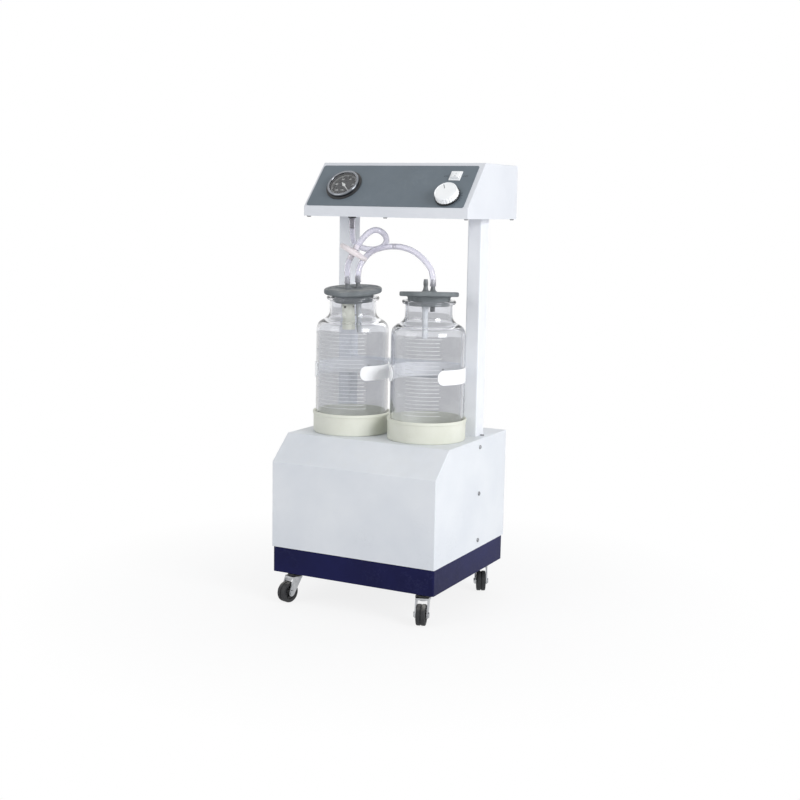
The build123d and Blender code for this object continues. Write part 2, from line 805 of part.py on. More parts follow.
with BuildPart() as gauge_lens:
    with BuildSketch(face.offset(lens_bottom)):
        with Locations((gauge_u, gauge_v)):
            Circle(collar_radius - 0.1)
    extrude(amount=lens_thickness)
gauge_lens.part.label = "gauge_lens"
export_step(gauge_lens.part, "parts/gauge_lens.step")

with BuildPart() as gauge_dial:
    with BuildSketch(face):
        with Locations((gauge_u, gauge_v)):
            Circle(dial_radius)
            Circle(pointer_shaft + 0.3, mode=Mode.SUBTRACT)
    extrude(amount=dial_thickness)
gauge_dial.part.label = "gauge_dial"
export_step(gauge_dial.part, "parts/gauge_dial.step")

pointer_rest = -45
pointer_tail = 8
pointer_gap = 1
movement_front = -6
with BuildPart() as gauge_pointer:
    with BuildSketch(face.offset(dial_thickness + pointer_gap)):
        with Locations(Location((gauge_u, gauge_v), pointer_rest)):
            Polygon(
                (-pointer_tail, -pointer_heel),
                (-pointer_tail, pointer_heel),
                (pointer_length, pointer_tip),
                (pointer_length, -pointer_tip),
                align=None,
            )
    extrude(amount=0.6)
    with BuildSketch(face.offset(dial_thickness + pointer_gap / 2)):
        with Locations((gauge_u, gauge_v)):
            Circle(3)
    extrude(amount=2.4)
    with BuildSketch(face.offset(dial_thickness + pointer_gap)):
        with Locations((gauge_u, gauge_v)):
            Circle(pointer_shaft)
    extrude(amount=movement_front - 8)
gauge_pointer.part.label = "gauge_pointer"
export_step(gauge_pointer.part, "parts/gauge_pointer.step")

bourdon_radius = 18
movement_back = gauge_wall - gauge_can_depth
stem_length = 16
with BuildPart() as gauge_movement:
    with BuildSketch(face.offset(movement_front)):
        with Locations((gauge_u, gauge_v - 5)):
            Rectangle(14, 2 * bourdon_radius - 4)
    extrude(amount=movement_back - movement_front)
    with BuildSketch(Plane(origin=on_face(gauge_u, gauge_v, -15), x_dir=-face.y_dir, z_dir=face.x_dir)):
        with Locations((bourdon_radius, 0)):
            Circle(2.2)
    revolve(axis=Axis(on_face(gauge_u, gauge_v, -15), face.z_dir), revolution_arc=250)
    with BuildSketch(face.offset(movement_front)):
        with Locations((gauge_u, gauge_v)):
            Circle(pointer_shaft + fit)
    extrude(amount=-12, mode=Mode.SUBTRACT)
    with BuildSketch(face.offset(movement_back)):
        with Locations((gauge_u, gauge_v)):
            Circle(stem_radius)
    extrude(amount=-gauge_wall - stem_length)
gauge_movement.part.label = "gauge_movement"
export_step(gauge_movement.part, "parts/gauge_movement.step")

# Rocker switch
rocker_cavity = rocker_half + 1.1
rocker_pivot = 1.5
rocker_place = on_face(switch_u, switch_v, rocker_pivot)
rim_size = switch_size + 4
with BuildPart() as switch_frame:
    with BuildSketch(face.offset(-switch_depth)):
        with Locations((switch_u, switch_v)):
            Rectangle(switch_size, switch_size)
    extrude(amount=switch_depth + panel_thickness)
    with BuildSketch(face.offset(panel_thickness)):
        with Locations((switch_u, switch_v)):
            RectangleRounded(rim_size, rim_size, 1.5)
    extrude(amount=switch_rim)
    with BuildSketch(face.offset(-switch_depth / 2)):
        with Locations((switch_u, switch_v)):
            Rectangle(2 * rocker_cavity, 2 * rocker_cavity)
    extrude(amount=switch_depth, mode=Mode.SUBTRACT)
    with BuildSketch(Plane(origin=rocker_place, x_dir=face.y_dir, z_dir=face.x_dir)):
        Circle(rocker_pin + fit)
    extrude(amount=switch_size / 2 - 0.4, both=True, mode=Mode.SUBTRACT)
switch_frame.part.label = "switch_frame"
export_step(switch_frame.part, "parts/switch_frame.step")

lean_in = radians(rocker_tilt)
rocker_up = face.y_dir * cos(lean_in) - face.z_dir * sin(lean_in)
with BuildPart() as switch_rocker:
    with BuildSketch(Plane(origin=rocker_place, x_dir=rocker_up, z_dir=face.x_dir)):
        with BuildLine():
            Polyline(
                (-rocker_half, -3.5),
                (rocker_half, -3.5),
                (rocker_half, 4.2),
                (0, 2.8),
                (-rocker_half, 4.2),
                close=True,
            )
        make_face()
    extrude(amount=rocker_width / 2, both=True)
    with BuildSketch(Plane(origin=rocker_place, x_dir=rocker_up, z_dir=face.x_dir)):
        Circle(rocker_pin)
    extrude(amount=switch_size / 2 - 0.6, both=True)
switch_rocker.part.label = "switch_rocker"
export_step(switch_rocker.part, "parts/switch_rocker.step")

# Vacuum regulator: valve body behind the face, nut, spindle and knob
neck_top = panel_thickness + 5.3
nut_height = 3
spindle_depth = 18
knob_base = panel_thickness + knob_gap
knob_cavity = neck_top + 1.5
knob_top = knob_base + knob_height
valve_tail = on_face(knob_u, knob_v, -sheet - valve_depth * 0.7)
with BuildPart() as regulator_valve:
    with BuildSketch(face.offset(-sheet)):
        with Locations((knob_u, knob_v)):
            Circle(valve_radius)
    extrude(amount=-valve_depth)
    with BuildSketch(face.offset(-sheet)):
        with Locations((knob_u, knob_v)):
            Circle(neck_radius)
    extrude(amount=sheet + neck_top)
    with BuildSketch(Plane(origin=valve_tail, x_dir=face.y_dir, z_dir=face.x_dir)):
        Circle(line_bore)
    extrude(amount=valve_radius + 12, both=True)
    with BuildSketch(face.offset(-spindle_depth - 0.5)):
        with Locations((knob_u, knob_v)):
            Circle(spindle_radius + fit)
    extrude(amount=spindle_depth + neck_top + 1, mode=Mode.SUBTRACT)
    with BuildSketch(face.offset(panel_thickness)):
        with Locations((knob_u, knob_v)):
            RegularPolygon(nut_radius, 6)
            Circle(neck_radius + fit, mode=Mode.SUBTRACT)
    extrude(amount=nut_height)
regulator_valve.part.label = "regulator_valve"
export_step(regulator_valve.part, "parts/regulator_valve.step")

with BuildPart() as regulator_spindle:
    with BuildSketch(face.offset(-spindle_depth)):
        with Locations((knob_u, knob_v)):
            Circle(spindle_radius)
    extrude(amount=spindle_depth + knob_top - 3)
regulator_spindle.part.label = "regulator_spindle"
export_step(regulator_spindle.part, "parts/regulator_spindle.step")

flute_count = 24
flute_radius = 1.1
with BuildPart() as regulator_knob:
    with BuildSketch(face.offset(knob_base)):
        with Locations((knob_u, knob_v)):
            Circle(knob_radius)
    extrude(amount=knob_height, taper=3)
    fillet(regulator_knob.edges().sort_by(Axis(face.origin, face.z_dir))[-1], 2)
    with BuildSketch(face.offset(knob_base)):
        with Locations((knob_u, knob_v)):
            with PolarLocations(knob_radius + 0.2, flute_count):
                Circle(flute_radius)
    extrude(amount=knob_height - 4, mode=Mode.SUBTRACT)
    with BuildSketch(face.offset(knob_base)):
        with Locations((knob_u, knob_v)):
            Circle(nut_radius + 2.5)
    extrude(amount=knob_cavity - knob_base, mode=Mode.SUBTRACT)
    with BuildSketch(face.offset(knob_cavity)):
        with Locations((knob_u, knob_v)):
            Circle(spindle_radius + fit)
    extrude(amount=knob_top - 3 - knob_cavity, mode=Mode.SUBTRACT)
regulator_knob.part.label = "regulator_knob"
export_step(regulator_knob.part, "parts/regulator_knob.step")

# Vacuum port: a ribbed hose tail under the head, with a side tail inside it
port_flange = 3
rib_pitch = 4
rib_count = 5
elbow_size = 16
elbow_height = 14
elbow_tail = 14
with BuildPart() as vacuum_port:
    with BuildSketch(Plane.XZ):
        with BuildLine():
            profile = [
                (stem_radius, head_bottom + sheet),
                (stem_radius, head_bottom),
                (stem_radius + 3, head_bottom),
            ]
            rib_top = head_bottom - port_flange
            profile.append((stem_radius + 3, rib_top))
            for rib in range(rib_count):
                profile.append((nozzle_radius - 0.7, rib_top - rib * rib_pitch))
                profile.append((nozzle_radius - 0.7, rib_top - rib * rib_pitch - 1))
                profile.append((nozzle_radius, rib_top - rib * rib_pitch - 1))
            profile.append((nozzle_radius - 0.9, head_bottom - port_length))
            Polyline(*profile, (0, head_bottom - port_length), (0, head_bottom + sheet), close=True)
        make_face()
    revolve(axis=Axis.Z)
    with BuildSketch(Plane.XY.offset(head_bottom + sheet)):
        Rectangle(elbow_size, elbow_size)
    extrude(amount=elbow_height)
    with BuildSketch(Plane.XZ.offset(-elbow_size / 2)):
        with Locations((0, head_bottom + sheet + elbow_height / 2)):
            Circle(line_bore - fit)
    extrude(amount=-elbow_tail)
    with BuildSketch(Plane.XY.offset(head_bottom - port_length)):
        Circle(2.2)
    extrude(amount=port_length + elbow_height / 2, mode=Mode.SUBTRACT)
placed_port = vacuum_port.part.moved(Location((port_x, port_y, 0)))
placed_port.label = "vacuum_port"
export_step(placed_port, "parts/vacuum_port.step")

# Stoppers: rubber discs with a tapered plug, each leaning a little in its jar's mouth
left_seat = Plane(origin=(-jar_x, jar_y, mouth_z), x_dir=(1, 0, 0), z_dir=left_lean)
right_seat = Plane(origin=(jar_x, jar_y, mouth_z), x_dir=(1, 0, 0), z_dir=right_lean)
disc_top = disc_lift + disc_thickness


def nozzle_places(turn):
    """The two nozzles' places on a stopper: the front one, then the back one."""
    across = Vector(nozzle_offset, 0).rotate(Axis.Z, turn)
    return [(-across.X, -across.Y), (across.X, across.Y)]


upward = (Align.CENTER, Align.CENTER, Align.MIN)
downward = (Align.CENTER, Align.CENTER, Align.MAX)
stopper_seats = {"left": (left_seat, left_nozzle_turn), "right": (right_seat, right_nozzle_turn)}
for side_name, (seat, turn) in stopper_seats.items():
    with BuildPart(seat) as stopper:
        with Locations((0, 0, disc_lift)):
            Cylinder(disc_radius, disc_thickness, align=upward)
        fillet(stopper.edges(), 3)
        Cone(plug_mouth_radius, plug_top_radius, disc_lift, align=upward)
        Cone(plug_bottom_radius, plug_mouth_radius, plug_depth, align=downward)
        with Locations(*[(x, y, 0) for x, y in nozzle_places(turn)]):
            Cylinder(nozzle_radius + fit, 4 * disc_top, mode=Mode.SUBTRACT)
    stopper.part.label = f"stopper_{side_name}"
    export_step(stopper.part, f"parts/stopper_{side_name}.step")

nozzle_tail = 12
for side_name, (seat, turn) in stopper_seats.items():
    with BuildPart(seat) as nozzles:
        for x, y in nozzle_places(turn):
            with Locations((x, y, -plug_depth - nozzle_tail)):
                Cylinder(nozzle_radius, plug_depth + nozzle_tail + nozzle_top, align=upward)
            with Locations((x, y, disc_top)):
                Cone(nozzle_cone_radius, nozzle_radius, nozzle_cone_height, align=upward)
            with Locations((x, y, 0)):
                Cylinder(nozzle_bore, 4 * nozzle_top, mode=Mode.SUBTRACT)
    nozzles.part.label = f"nozzles_{side_name}"
    export_step(nozzles.part, f"parts/nozzles_{side_name}.step")

tube_tops = {
    "down_tube_left": (left_seat, left_nozzle_turn, 1),
    "down_tube_right": (right_seat, right_nozzle_turn, 0),
}
for name, (seat, turn, which) in tube_tops.items():
    x, y = nozzle_places(turn)[which]
    with BuildPart(seat) as down_tube:
        with Locations((x, y, -plug_depth - gap)):
            Cylinder(down_tube_radius, down_tube_length, align=downward)
            Cylinder(down_tube_radius + 1.2, 6, align=downward)
        with Locations((x, y, 0)):
            Cylinder(nozzle_radius + fit, 4 * down_tube_length, mode=Mode.SUBTRACT)
    down_tube.part.label = name
    export_step(down_tube.part, f"parts/{name}.step")

# Float valve: a cage under the left stopper's front nozzle with a float that shuts the suction line
cage_x, cage_y = nozzle_places(left_nozzle_turn)[0]
cage_top = -plug_depth - gap
with BuildPart(left_seat) as float_cage:
    with Locations((cage_x, cage_y, cage_top)):
        Cylinder(cage_radius, cage_length, align=downward)
    with Locations((cage_x, cage_y, cage_top - 3)):
        Cylinder(cage_radius - cage_wall, cage_length - 3 - cage_wall, align=downward, mode=Mode.SUBTRACT)
    with Locations((cage_x, cage_y, cage_top)):
        Cylinder(nozzle_radius + fit, 3, align=downward, mode=Mode.SUBTRACT)
        with PolarLocations(6, 5):
            Cylinder(2, 3 * cage_length, align=downward, mode=Mode.SUBTRACT)
    with Locations((cage_x, cage_y, cage_top - 8)):
        Cylinder(2.5, 2 * cage_radius + 4, rotation=(90, 0, 0), mode=Mode.SUBTRACT)
        Cylinder(2.5, 2 * cage_radius + 4, rotation=(0, 90, 0), mode=Mode.SUBTRACT)
float_cage.part.label = "float_cage"
export_step(float_cage.part, "parts/float_cage.step")

float_bottom = cage_top - cage_length + cage_wall
with BuildPart(left_seat) as valve_float:
    with Locations((cage_x, cage_y, float_bottom)):
        Cylinder(float_radius, float_length, align=upward)
    fillet(valve_float.edges(), 2)
valve_float.part.label = "valve_float"
export_step(valve_float.part, "parts/valve_float.step")

# Filter and the three clear hoses, whose points were chosen along their real run
filter_seat = Plane(origin=filter_centre, z_dir=filter_axis)
hub_half = filter_half + 1.7
with BuildPart(filter_seat) as line_filter:
    Cylinder(filter_radius, 2 * filter_half)
    chamfer(line_filter.edges(), 1.5)
    Cylinder(7, 2 * hub_half)
    Cylinder(nozzle_radius, 2 * filter_barb)
    Cylinder(2.5, 2 * filter_barb, mode=Mode.SUBTRACT)
line_filter.part.label = "line_filter"
export_step(line_filter.part, "parts/line_filter.step")

hose_start = nozzle_top - hose_grip
inlet_point = filter_centre - filter_axis * (hub_half + gap)
outlet_point = filter_centre + filter_axis * (hub_half + gap)


def along_nozzle(seat, turn, which, height):
    """A point on a nozzle's line, height above its jar's mouth."""
    x, y = nozzle_places(turn)[which]
    return seat.from_local_coords(Vector(x, y, height))


def in_span(x, y, share):
    """A point at a share of the height from the jars' mouths to the head."""
    return (x, y, mouth_z + share * hose_span)


hose_routes = {
    "hose_port_to_filter": [
        (port_x, port_y, head_bottom - port_flange - gap),
        in_span(port_x, port_y, 0.783),
        in_span(-101, 10, 0.666),
        in_span(-83, 24, 0.581),
        in_span(-56, 28, 0.587),
        in_span(-32, 20, 0.659),
        in_span(-24, 2, 0.783),
        in_span(-39, -16, 0.861),
        filter_centre - filter_axis * 34,
        inlet_point,
    ],
    "hose_filter_to_jar": [
        outlet_point,
        filter_centre + filter_axis * 22,
        along_nozzle(left_seat, left_nozzle_turn, 0, hose_start + 20),
        along_nozzle(left_seat, left_nozzle_turn, 0, hose_start),
    ],
    "hose_jar_to_jar": [
        along_nozzle(left_seat, left_nozzle_turn, 1, hose_start),
        along_nozzle(left_seat, left_nozzle_turn, 1, hose_start + 24),
        in_span(-72, 2, 0.470),
        in_span(-56, 4, 0.575),
        in_span(-24, 2, 0.633),
        in_span(12, 0, 0.640),
        in_span(44, -2, 0.575),
        in_span(68, -4, 0.451),
        along_nozzle(right_seat, right_nozzle_turn, 1, hose_start + 26),
        along_nozzle(right_seat, right_nozzle_turn, 1, hose_start),
    ],
}
for name, points in hose_routes.items():
    tube = hose(name, points, hose_radius, hose_bore)
    tube.label = name
    export_step(tube, f"parts/{name}.step")

# Vacuum line from the pump up the left column to the port's side tail
tail_z = head_bottom + sheet + elbow_height / 2
pump_tail_z = pump_head_top + 1
pump_tail_x = -crankcase_length / 2 - motor_half
line_low = pump_tail_z + 60
line_high = head_top - 25
line_behind = 150
line_points = [
    (pump_tail_x, pump_y, pump_tail_z),
    (pump_tail_x, pump_y, line_low),
    (line_x, line_y, line_low),
    (line_x, line_y, line_high),
    ((line_x + port_x) / 2 + 6, line_behind, line_high),
    (port_x, line_behind, tail_z),
    (port_x, port_y + elbow_size / 2 + 1, tail_z),
]
vacuum_line = hose("vacuum_line", line_points, line_radius, line_bore, cap=30)
vacuum_line.label = "vacuum_line"
export_step(vacuum_line, "parts/vacuum_line.step")


# Casters: each fork turns on a kingpin under the tray and carries its wheel on an axle
leg_radius = 7
fork_half = wheel_width / 2 + fork_gap
crown_bottom = fork_top - fork_crown
kingpin_head_radius = 8
kingpin_head_height = 3
kingpin_nut_height = 8
axle_head = 2
groove_width = 2
groove_depth = 1.2
upright = Vector(0, 0, 1)
for name, (x, y) in caster_places.items():
    turn = radians(caster_turns[name])
    trail = Vector(sin(turn), -cos(turn), 0)
    across = trail.cross(upright)
    pivot = Vector(x, y, 0)
    hub = pivot + trail * caster_trail + upright * wheel_radius
    with BuildPart() as fork:
        with BuildSketch(Plane(origin=pivot + upright * crown_bottom, x_dir=trail, z_dir=upright)):
            Circle(ring_radius)
            with Locations((4, 0)):
                RectangleRounded(24, 2 * (fork_half + fork_sheet), 3)
            Circle(stem_bolt_radius + fit, mode=Mode.SUBTRACT)
        extrude(amount=fork_crown)
        for start in (fork_half, -fork_half - fork_sheet):
            with BuildSketch(Plane(origin=pivot + across * start, x_dir=trail, z_dir=across)):
                with Locations((4, crown_bottom + 0.5)):
                    Rectangle(22, 1)
                with Locations((caster_trail, wheel_radius)):
                    Circle(leg_radius)
                make_hull()
                with Locations((caster_trail, wheel_radius)):
                    Circle(axle_radius + fit, mode=Mode.SUBTRACT)
            extrude(amount=fork_sheet)
        axle_end = fork_half + fork_sheet
        with BuildSketch(Plane(origin=hub - across * axle_end, z_dir=across)):
            Circle(axle_radius)
        extrude(amount=2 * axle_end)
        for side in (-1, 1):
            with BuildSketch(Plane(origin=hub + across * side * axle_end, z_dir=across * side)):
                Circle(axle_radius + 2)
            extrude(amount=axle_head)
    fork.part.label = f"caster_fork_{name}"
    export_step(fork.part, f"parts/caster_fork_{name}.step")
    with BuildPart(Plane(origin=hub, z_dir=across)) as wheel:
        Cylinder(wheel_radius, wheel_width)
        fillet(wheel.edges(), 2.5)
        with BuildSketch():
            Circle(wheel_radius)
            Circle(wheel_radius - groove_depth, mode=Mode.SUBTRACT)
        extrude(amount=groove_width / 2, both=True, mode=Mode.SUBTRACT)
        for side in (-1, 1):
            with BuildSketch(Plane(origin=hub + across * side * wheel_width / 2, z_dir=across * side)):
                Circle(wheel_radius * 0.62)
                Circle(axle_radius + 3, mode=Mode.SUBTRACT)
            extrude(amount=-1.5, mode=Mode.SUBTRACT)
        Cylinder(axle_radius + fit, 2 * wheel_width, mode=Mode.SUBTRACT)
    wheel.part.label = f"caster_wheel_{name}"
    export_step(wheel.part, f"parts/caster_wheel_{name}.step")

with BuildPart() as caster_rings:
    with BuildSketch(Plane.XY.offset(fork_top + gap)):
        with Locations(*caster_places.values()):
            Circle(ring_radius - 1)
            Circle(stem_bolt_radius + fit, mode=Mode.SUBTRACT)
    extrude(amount=floor_clearance - fork_top - gap)
caster_rings.part.label = "caster_rings"
export_step(caster_rings.part, "parts/caster_rings.step")

kingpin_seat = crown_bottom - gap
with BuildPart() as caster_kingpins:
    with BuildSketch(Plane.XY.offset(kingpin_seat)):
        with Locations(*caster_places.values()):
            Circle(kingpin_head_radius)
    extrude(amount=-kingpin_head_height)
    with BuildSketch(Plane.XY.offset(kingpin_seat)):
        with Locations(*caster_places.values()):
            Circle(stem_bolt_radius)
    extrude(amount=tray_floor + kingpin_nut_height + 2 - kingpin_seat)
    with BuildSketch(Plane.XY.offset(tray_floor)):
        with Locations(*caster_places.values()):
            RegularPolygon(9.5, 6)
            Circle(stem_bolt_radius + fit, mode=Mode.SUBTRACT)
    extrude(amount=kingpin_nut_height)
caster_kingpins.part.label = "caster_kingpins"
export_step(caster_kingpins.part, "parts/caster_kingpins.step")

# Pump: a twin-cylinder oil-free piston pump on a plate with four rubber feet
case_start = motor_half
case_end = motor_half + crankcase_length
cylinder_x = (case_start + case_end) / 2
with BuildPart() as pump_mount:
    with BuildSketch(Plane.XY.offset(tray_floor)):
        with Locations((0, pump_y)):
            with GridLocations(2 * foot_x, 2 * foot_y, 2, 2):
                Circle(foot_radius)
    extrude(amount=foot_height)
    fillet(pump_mount.edges(), 2)
    with BuildSketch(Plane.XY.offset(tray_floor + foot_height)):
        with Locations((0, pump_y)):
            RectangleRounded(plate_length, plate_depth, 6)
    extrude(amount=plate_thickness)
pump_mount.part.label = "pump_mount"
export_step(pump_mount.part, "parts/pump_mount.step")

rotor_half = 30
air_gap = 0.6
with BuildPart() as motor_housing:
    with BuildSketch(Plane.YZ):
        with Locations((pump_y, shaft_z)):
            Circle(motor_radius)
        with Locations((pump_y, (plate_top + shaft_z) / 2)):
            Rectangle(motor_radius * 1.2, shaft_z - plate_top)
        with Locations((pump_y, shaft_z)):
            Circle(motor_radius - motor_wall, mode=Mode.SUBTRACT)
    extrude(amount=motor_half, both=True)
    with BuildSketch(Plane.YZ):
        with Locations((pump_y, shaft_z)):
            Circle(stator_radius)
            Circle(rotor_radius + air_gap, mode=Mode.SUBTRACT)
    extrude(amount=rotor_half, both=True)
motor_housing.part.label = "motor_housing"
export_step(motor_housing.part, "parts/motor_housing.step")

with BuildPart() as crankcases:
    for side in (-1, 1):
        with BuildSketch(Plane.YZ.offset(side * case_start)):
            with Locations((pump_y, (plate_top + crankcase_top) / 2)):
                Rectangle(2 * crankcase_half, crankcase_top - plate_top)
        extrude(amount=side * crankcase_length)
        with BuildSketch(Plane.YZ.offset(side * (case_start + crankcase_wall))):
            with Locations((pump_y, shaft_z)):
                Circle(crankcase_bore)
        extrude(amount=side * (crankcase_length - 2 * crankcase_wall), mode=Mode.SUBTRACT)
        with BuildSketch(Plane.XY.offset(crankcase_top)):
            with Locations((side * cylinder_x, pump_y)):
                Circle(cylinder_bore)
        extrude(amount=-crankcase_half, mode=Mode.SUBTRACT)
    with BuildSketch(Plane.YZ):
        with Locations((pump_y, shaft_z)):
            Circle(shaft_radius + fit)
    extrude(amount=body_width / 2, both=True, mode=Mode.SUBTRACT)
crankcases.part.label = "crankcases"
export_step(crankcases.part, "parts/crankcases.step")

fin_count = 4
fin_pitch = 7
with BuildPart() as pump_cylinders:
    for side in (-1, 1):
        with BuildSketch(Plane.XY.offset(crankcase_top)):
            with Locations((side * cylinder_x, pump_y)):
                Circle(cylinder_radius)
                Circle(cylinder_bore, mode=Mode.SUBTRACT)
        extrude(amount=cylinder_height)
        for fin in range(fin_count):
            with BuildSketch(Plane.XY.offset(crankcase_top + 5 + fin * fin_pitch)):
                with Locations((side * cylinder_x, pump_y)):
                    Circle(cylinder_radius + 4)
                    Circle(cylinder_bore, mode=Mode.SUBTRACT)
            extrude(amount=2.5)
pump_cylinders.part.label = "pump_cylinders"
export_step(pump_cylinders.part, "parts/pump_cylinders.step")

pump_tail = 14
with BuildPart() as pump_heads:
    with BuildSketch(Plane.XY.offset(cylinder_top)):
        for side in (-1, 1):
            with Locations((side * cylinder_x, pump_y)):
                RectangleRounded(pump_head_size, pump_head_size, 5)
    extrude(amount=pump_head_height)
    with BuildSketch(Plane.XY.offset(pump_head_top)):
        with Locations((-cylinder_x, pump_y)):
            Circle(line_bore - fit)
    extrude(amount=pump_tail)
pump_heads.part.label = "pump_heads"
export_step(pump_heads.part, "parts/pump_heads.step")

shaft_half = case_end + fan_width + 4
throw = 7
eccentric_radius = 14
with BuildPart() as pump_shaft:
    with BuildSketch(Plane.YZ):
        with Locations((pump_y, shaft_z)):
            Circle(shaft_radius)
    extrude(amount=shaft_half, both=True)
    with BuildSketch(Plane.YZ):
        with Locations((pump_y, shaft_z)):
            Circle(rotor_radius)
    extrude(amount=rotor_half, both=True)
    for side in (-1, 1):
        with BuildSketch(Plane.YZ.offset(side * (cylinder_x - 7))):
            with Locations((pump_y, shaft_z + side * throw)):
                Circle(eccentric_radius)
        extrude(amount=side * 14)
pump_shaft.part.label = "pump_shaft"
export_step(pump_shaft.part, "parts/pump_shaft.step")

blade_count = 7
with BuildPart() as pump_fans:
    for side in (-1, 1):
        with BuildSketch(Plane.YZ.offset(side * (case_end + 2))):
            with Locations((pump_y, shaft_z)):
                Circle(shaft_radius + 6)
                with PolarLocations(shaft_radius + 18, blade_count):
                    Rectangle(2 * (fan_radius - shaft_radius - 18), 2)
                Circle(shaft_radius + fit, mode=Mode.SUBTRACT)
        extrude(amount=side * fan_width)
pump_fans.part.label = "pump_fans"
export_step(pump_fans.part, "parts/pump_fans.step")

# Pan-head screws: (place of the head, way that it faces, length) for each one
seat_screw_z = casing_top + seat_floor - screw_head_height - gap
band_screw_length = bar_thickness + gap + band_thickness
casing_side = body_width / 2
screws = [((side * casing_side, side_screw_y, z), (side, 0, 0), 8) for side in (-1, 1) for z in side_screw_z]
screws += [((side * cover_screw_x, cover_back, z), (0, 1, 0), 6) for side in (-1, 1) for z in cover_screw_z]
screws += [((x, y, head_bottom), (0, 0, -1), 6) for x, y in head_screw_places]
screws += [((side * jar_x, jar_y, seat_screw_z), (0, 0, 1), 6) for side in (-1, 1)]
screws += [((side * post_screw_x, post_screw_y, casing_top), (0, 0, 1), 6) for side in (-1, 1)]
screws += [((x, bar_y + bar_thickness, z), (0, 1, 0), band_screw_length) for x, z in band_places]
screws += [((side * (bar_half - bar_thickness), column_y, bar_z), (-side, 0, 0), 6) for side in (-1, 1)]
with BuildPart() as pan_head_screws:
    for place, way, length in screws:
        add(pan_screw(place, way, length))
pan_head_screws.part.label = "pan_head_screws"
export_step(pan_head_screws.part, "parts/pan_head_screws.step")
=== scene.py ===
import bpy
from math import atan2, cos, pi, radians, sin
from mathutils import Euler, Matrix, Vector


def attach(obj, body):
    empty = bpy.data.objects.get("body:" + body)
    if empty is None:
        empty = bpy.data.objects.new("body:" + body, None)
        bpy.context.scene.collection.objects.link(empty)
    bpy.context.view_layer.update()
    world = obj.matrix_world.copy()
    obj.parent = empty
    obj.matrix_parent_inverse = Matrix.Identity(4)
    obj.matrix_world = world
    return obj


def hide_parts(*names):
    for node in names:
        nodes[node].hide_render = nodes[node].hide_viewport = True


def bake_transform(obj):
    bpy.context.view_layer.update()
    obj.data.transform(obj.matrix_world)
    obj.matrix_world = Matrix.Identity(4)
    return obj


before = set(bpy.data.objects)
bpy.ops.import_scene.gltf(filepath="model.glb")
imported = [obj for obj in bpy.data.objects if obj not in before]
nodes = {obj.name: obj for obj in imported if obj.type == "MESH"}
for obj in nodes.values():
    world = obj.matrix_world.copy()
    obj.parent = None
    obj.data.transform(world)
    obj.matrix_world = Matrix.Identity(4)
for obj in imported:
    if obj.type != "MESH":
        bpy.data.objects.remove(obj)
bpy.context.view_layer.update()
up = Vector((0, 0, 1))
print("frame loaded")


# small helpers: colours, picking, and parts of a node tree


def paint(red, green, blue):
    # a colour as a paint shop mixes it, turned into scene values
    return tuple(((part / 255 + 0.055) / 1.055) ** 2.4 for part in (red, green, blue)) + (1,)


def deselectAll():
    if bpy.context.object and bpy.context.object.mode != "OBJECT":
        bpy.ops.object.mode_set(mode="OBJECT")
    bpy.ops.object.select_all(action="DESELECT")


def pickOnly(piece):
    deselectAll()
    piece.select_set(True)
    bpy.context.view_layer.objects.active = piece


def newGroup(name, inputs, outputs):
    group = bpy.data.node_groups.new(name, "ShaderNodeTree")
    for label, kind, value in inputs:
        socket = group.interface.new_socket(name=label, in_out="INPUT", socket_type=kind)
        if value is not None:
            socket.default_value = value
    for label, kind in outputs:
        group.interface.new_socket(name=label, in_out="OUTPUT", socket_type=kind)
    entry = group.nodes.new("NodeGroupInput")
    leave = group.nodes.new("NodeGroupOutput")
    return group, entry, leave


def addNoise(tree, vector, size, detail, roughness=0.55):
    noise = tree.nodes.new("ShaderNodeTexNoise")
    noise.inputs["Detail"].default_value = detail
    noise.inputs["Roughness"].default_value = roughness
    tree.links.new(vector, noise.inputs["Vector"])
    tree.links.new(size, noise.inputs["Scale"])
    return noise


def addRange(tree, value, low, high, outLow=0.0, outHigh=1.0):
    stretch = tree.nodes.new("ShaderNodeMapRange")
    stretch.inputs["From Min"].default_value = low
    stretch.inputs["From Max"].default_value = high
    stretch.inputs["To Min"].default_value = outLow
    stretch.inputs["To Max"].default_value = outHigh
    tree.links.new(value, stretch.inputs["Value"])
    return stretch.outputs[0]


def addMath(tree, operation, first, second):
    node = tree.nodes.new("ShaderNodeMath")
    node.operation = operation
    for slot, value in enumerate((first, second)):
        if isinstance(value, (int, float)):
            node.inputs[slot].default_value = value
        else:
            tree.links.new(value, node.inputs[slot])
    return node.outputs[0]


def addMix(tree, share, first, second):
    node = tree.nodes.new("ShaderNodeMix")
    node.data_type = "RGBA"
    for slot, value in ((0, share), (6, first), (7, second)):
        if isinstance(value, (int, float, tuple)):
            node.inputs[slot].default_value = value
        else:
            tree.links.new(value, node.inputs[slot])
    return node.outputs[2]


# camera, light and floor come first
cameraSettings = {"place": (1.18014, -2.27423, 0.76655), "yaw": 27.153, "pitch": -8.347, "roll": 1.047,
                  "lens": 59.39, "sensor": 36}


def addCamera():
    bpy.ops.object.camera_add(location=cameraSettings["place"])
    camera = bpy.context.object
    turned = Euler((pi / 2 + radians(cameraSettings["pitch"]), 0, radians(cameraSettings["yaw"]))).to_matrix()
    turned = turned @ Matrix.Rotation(radians(cameraSettings["roll"]), 3, "Z")
    camera.rotation_euler = turned.to_euler()
    camera.data.lens = cameraSettings["lens"]
    camera.data.sensor_width = cameraSettings["sensor"]
    bpy.context.scene.camera = camera


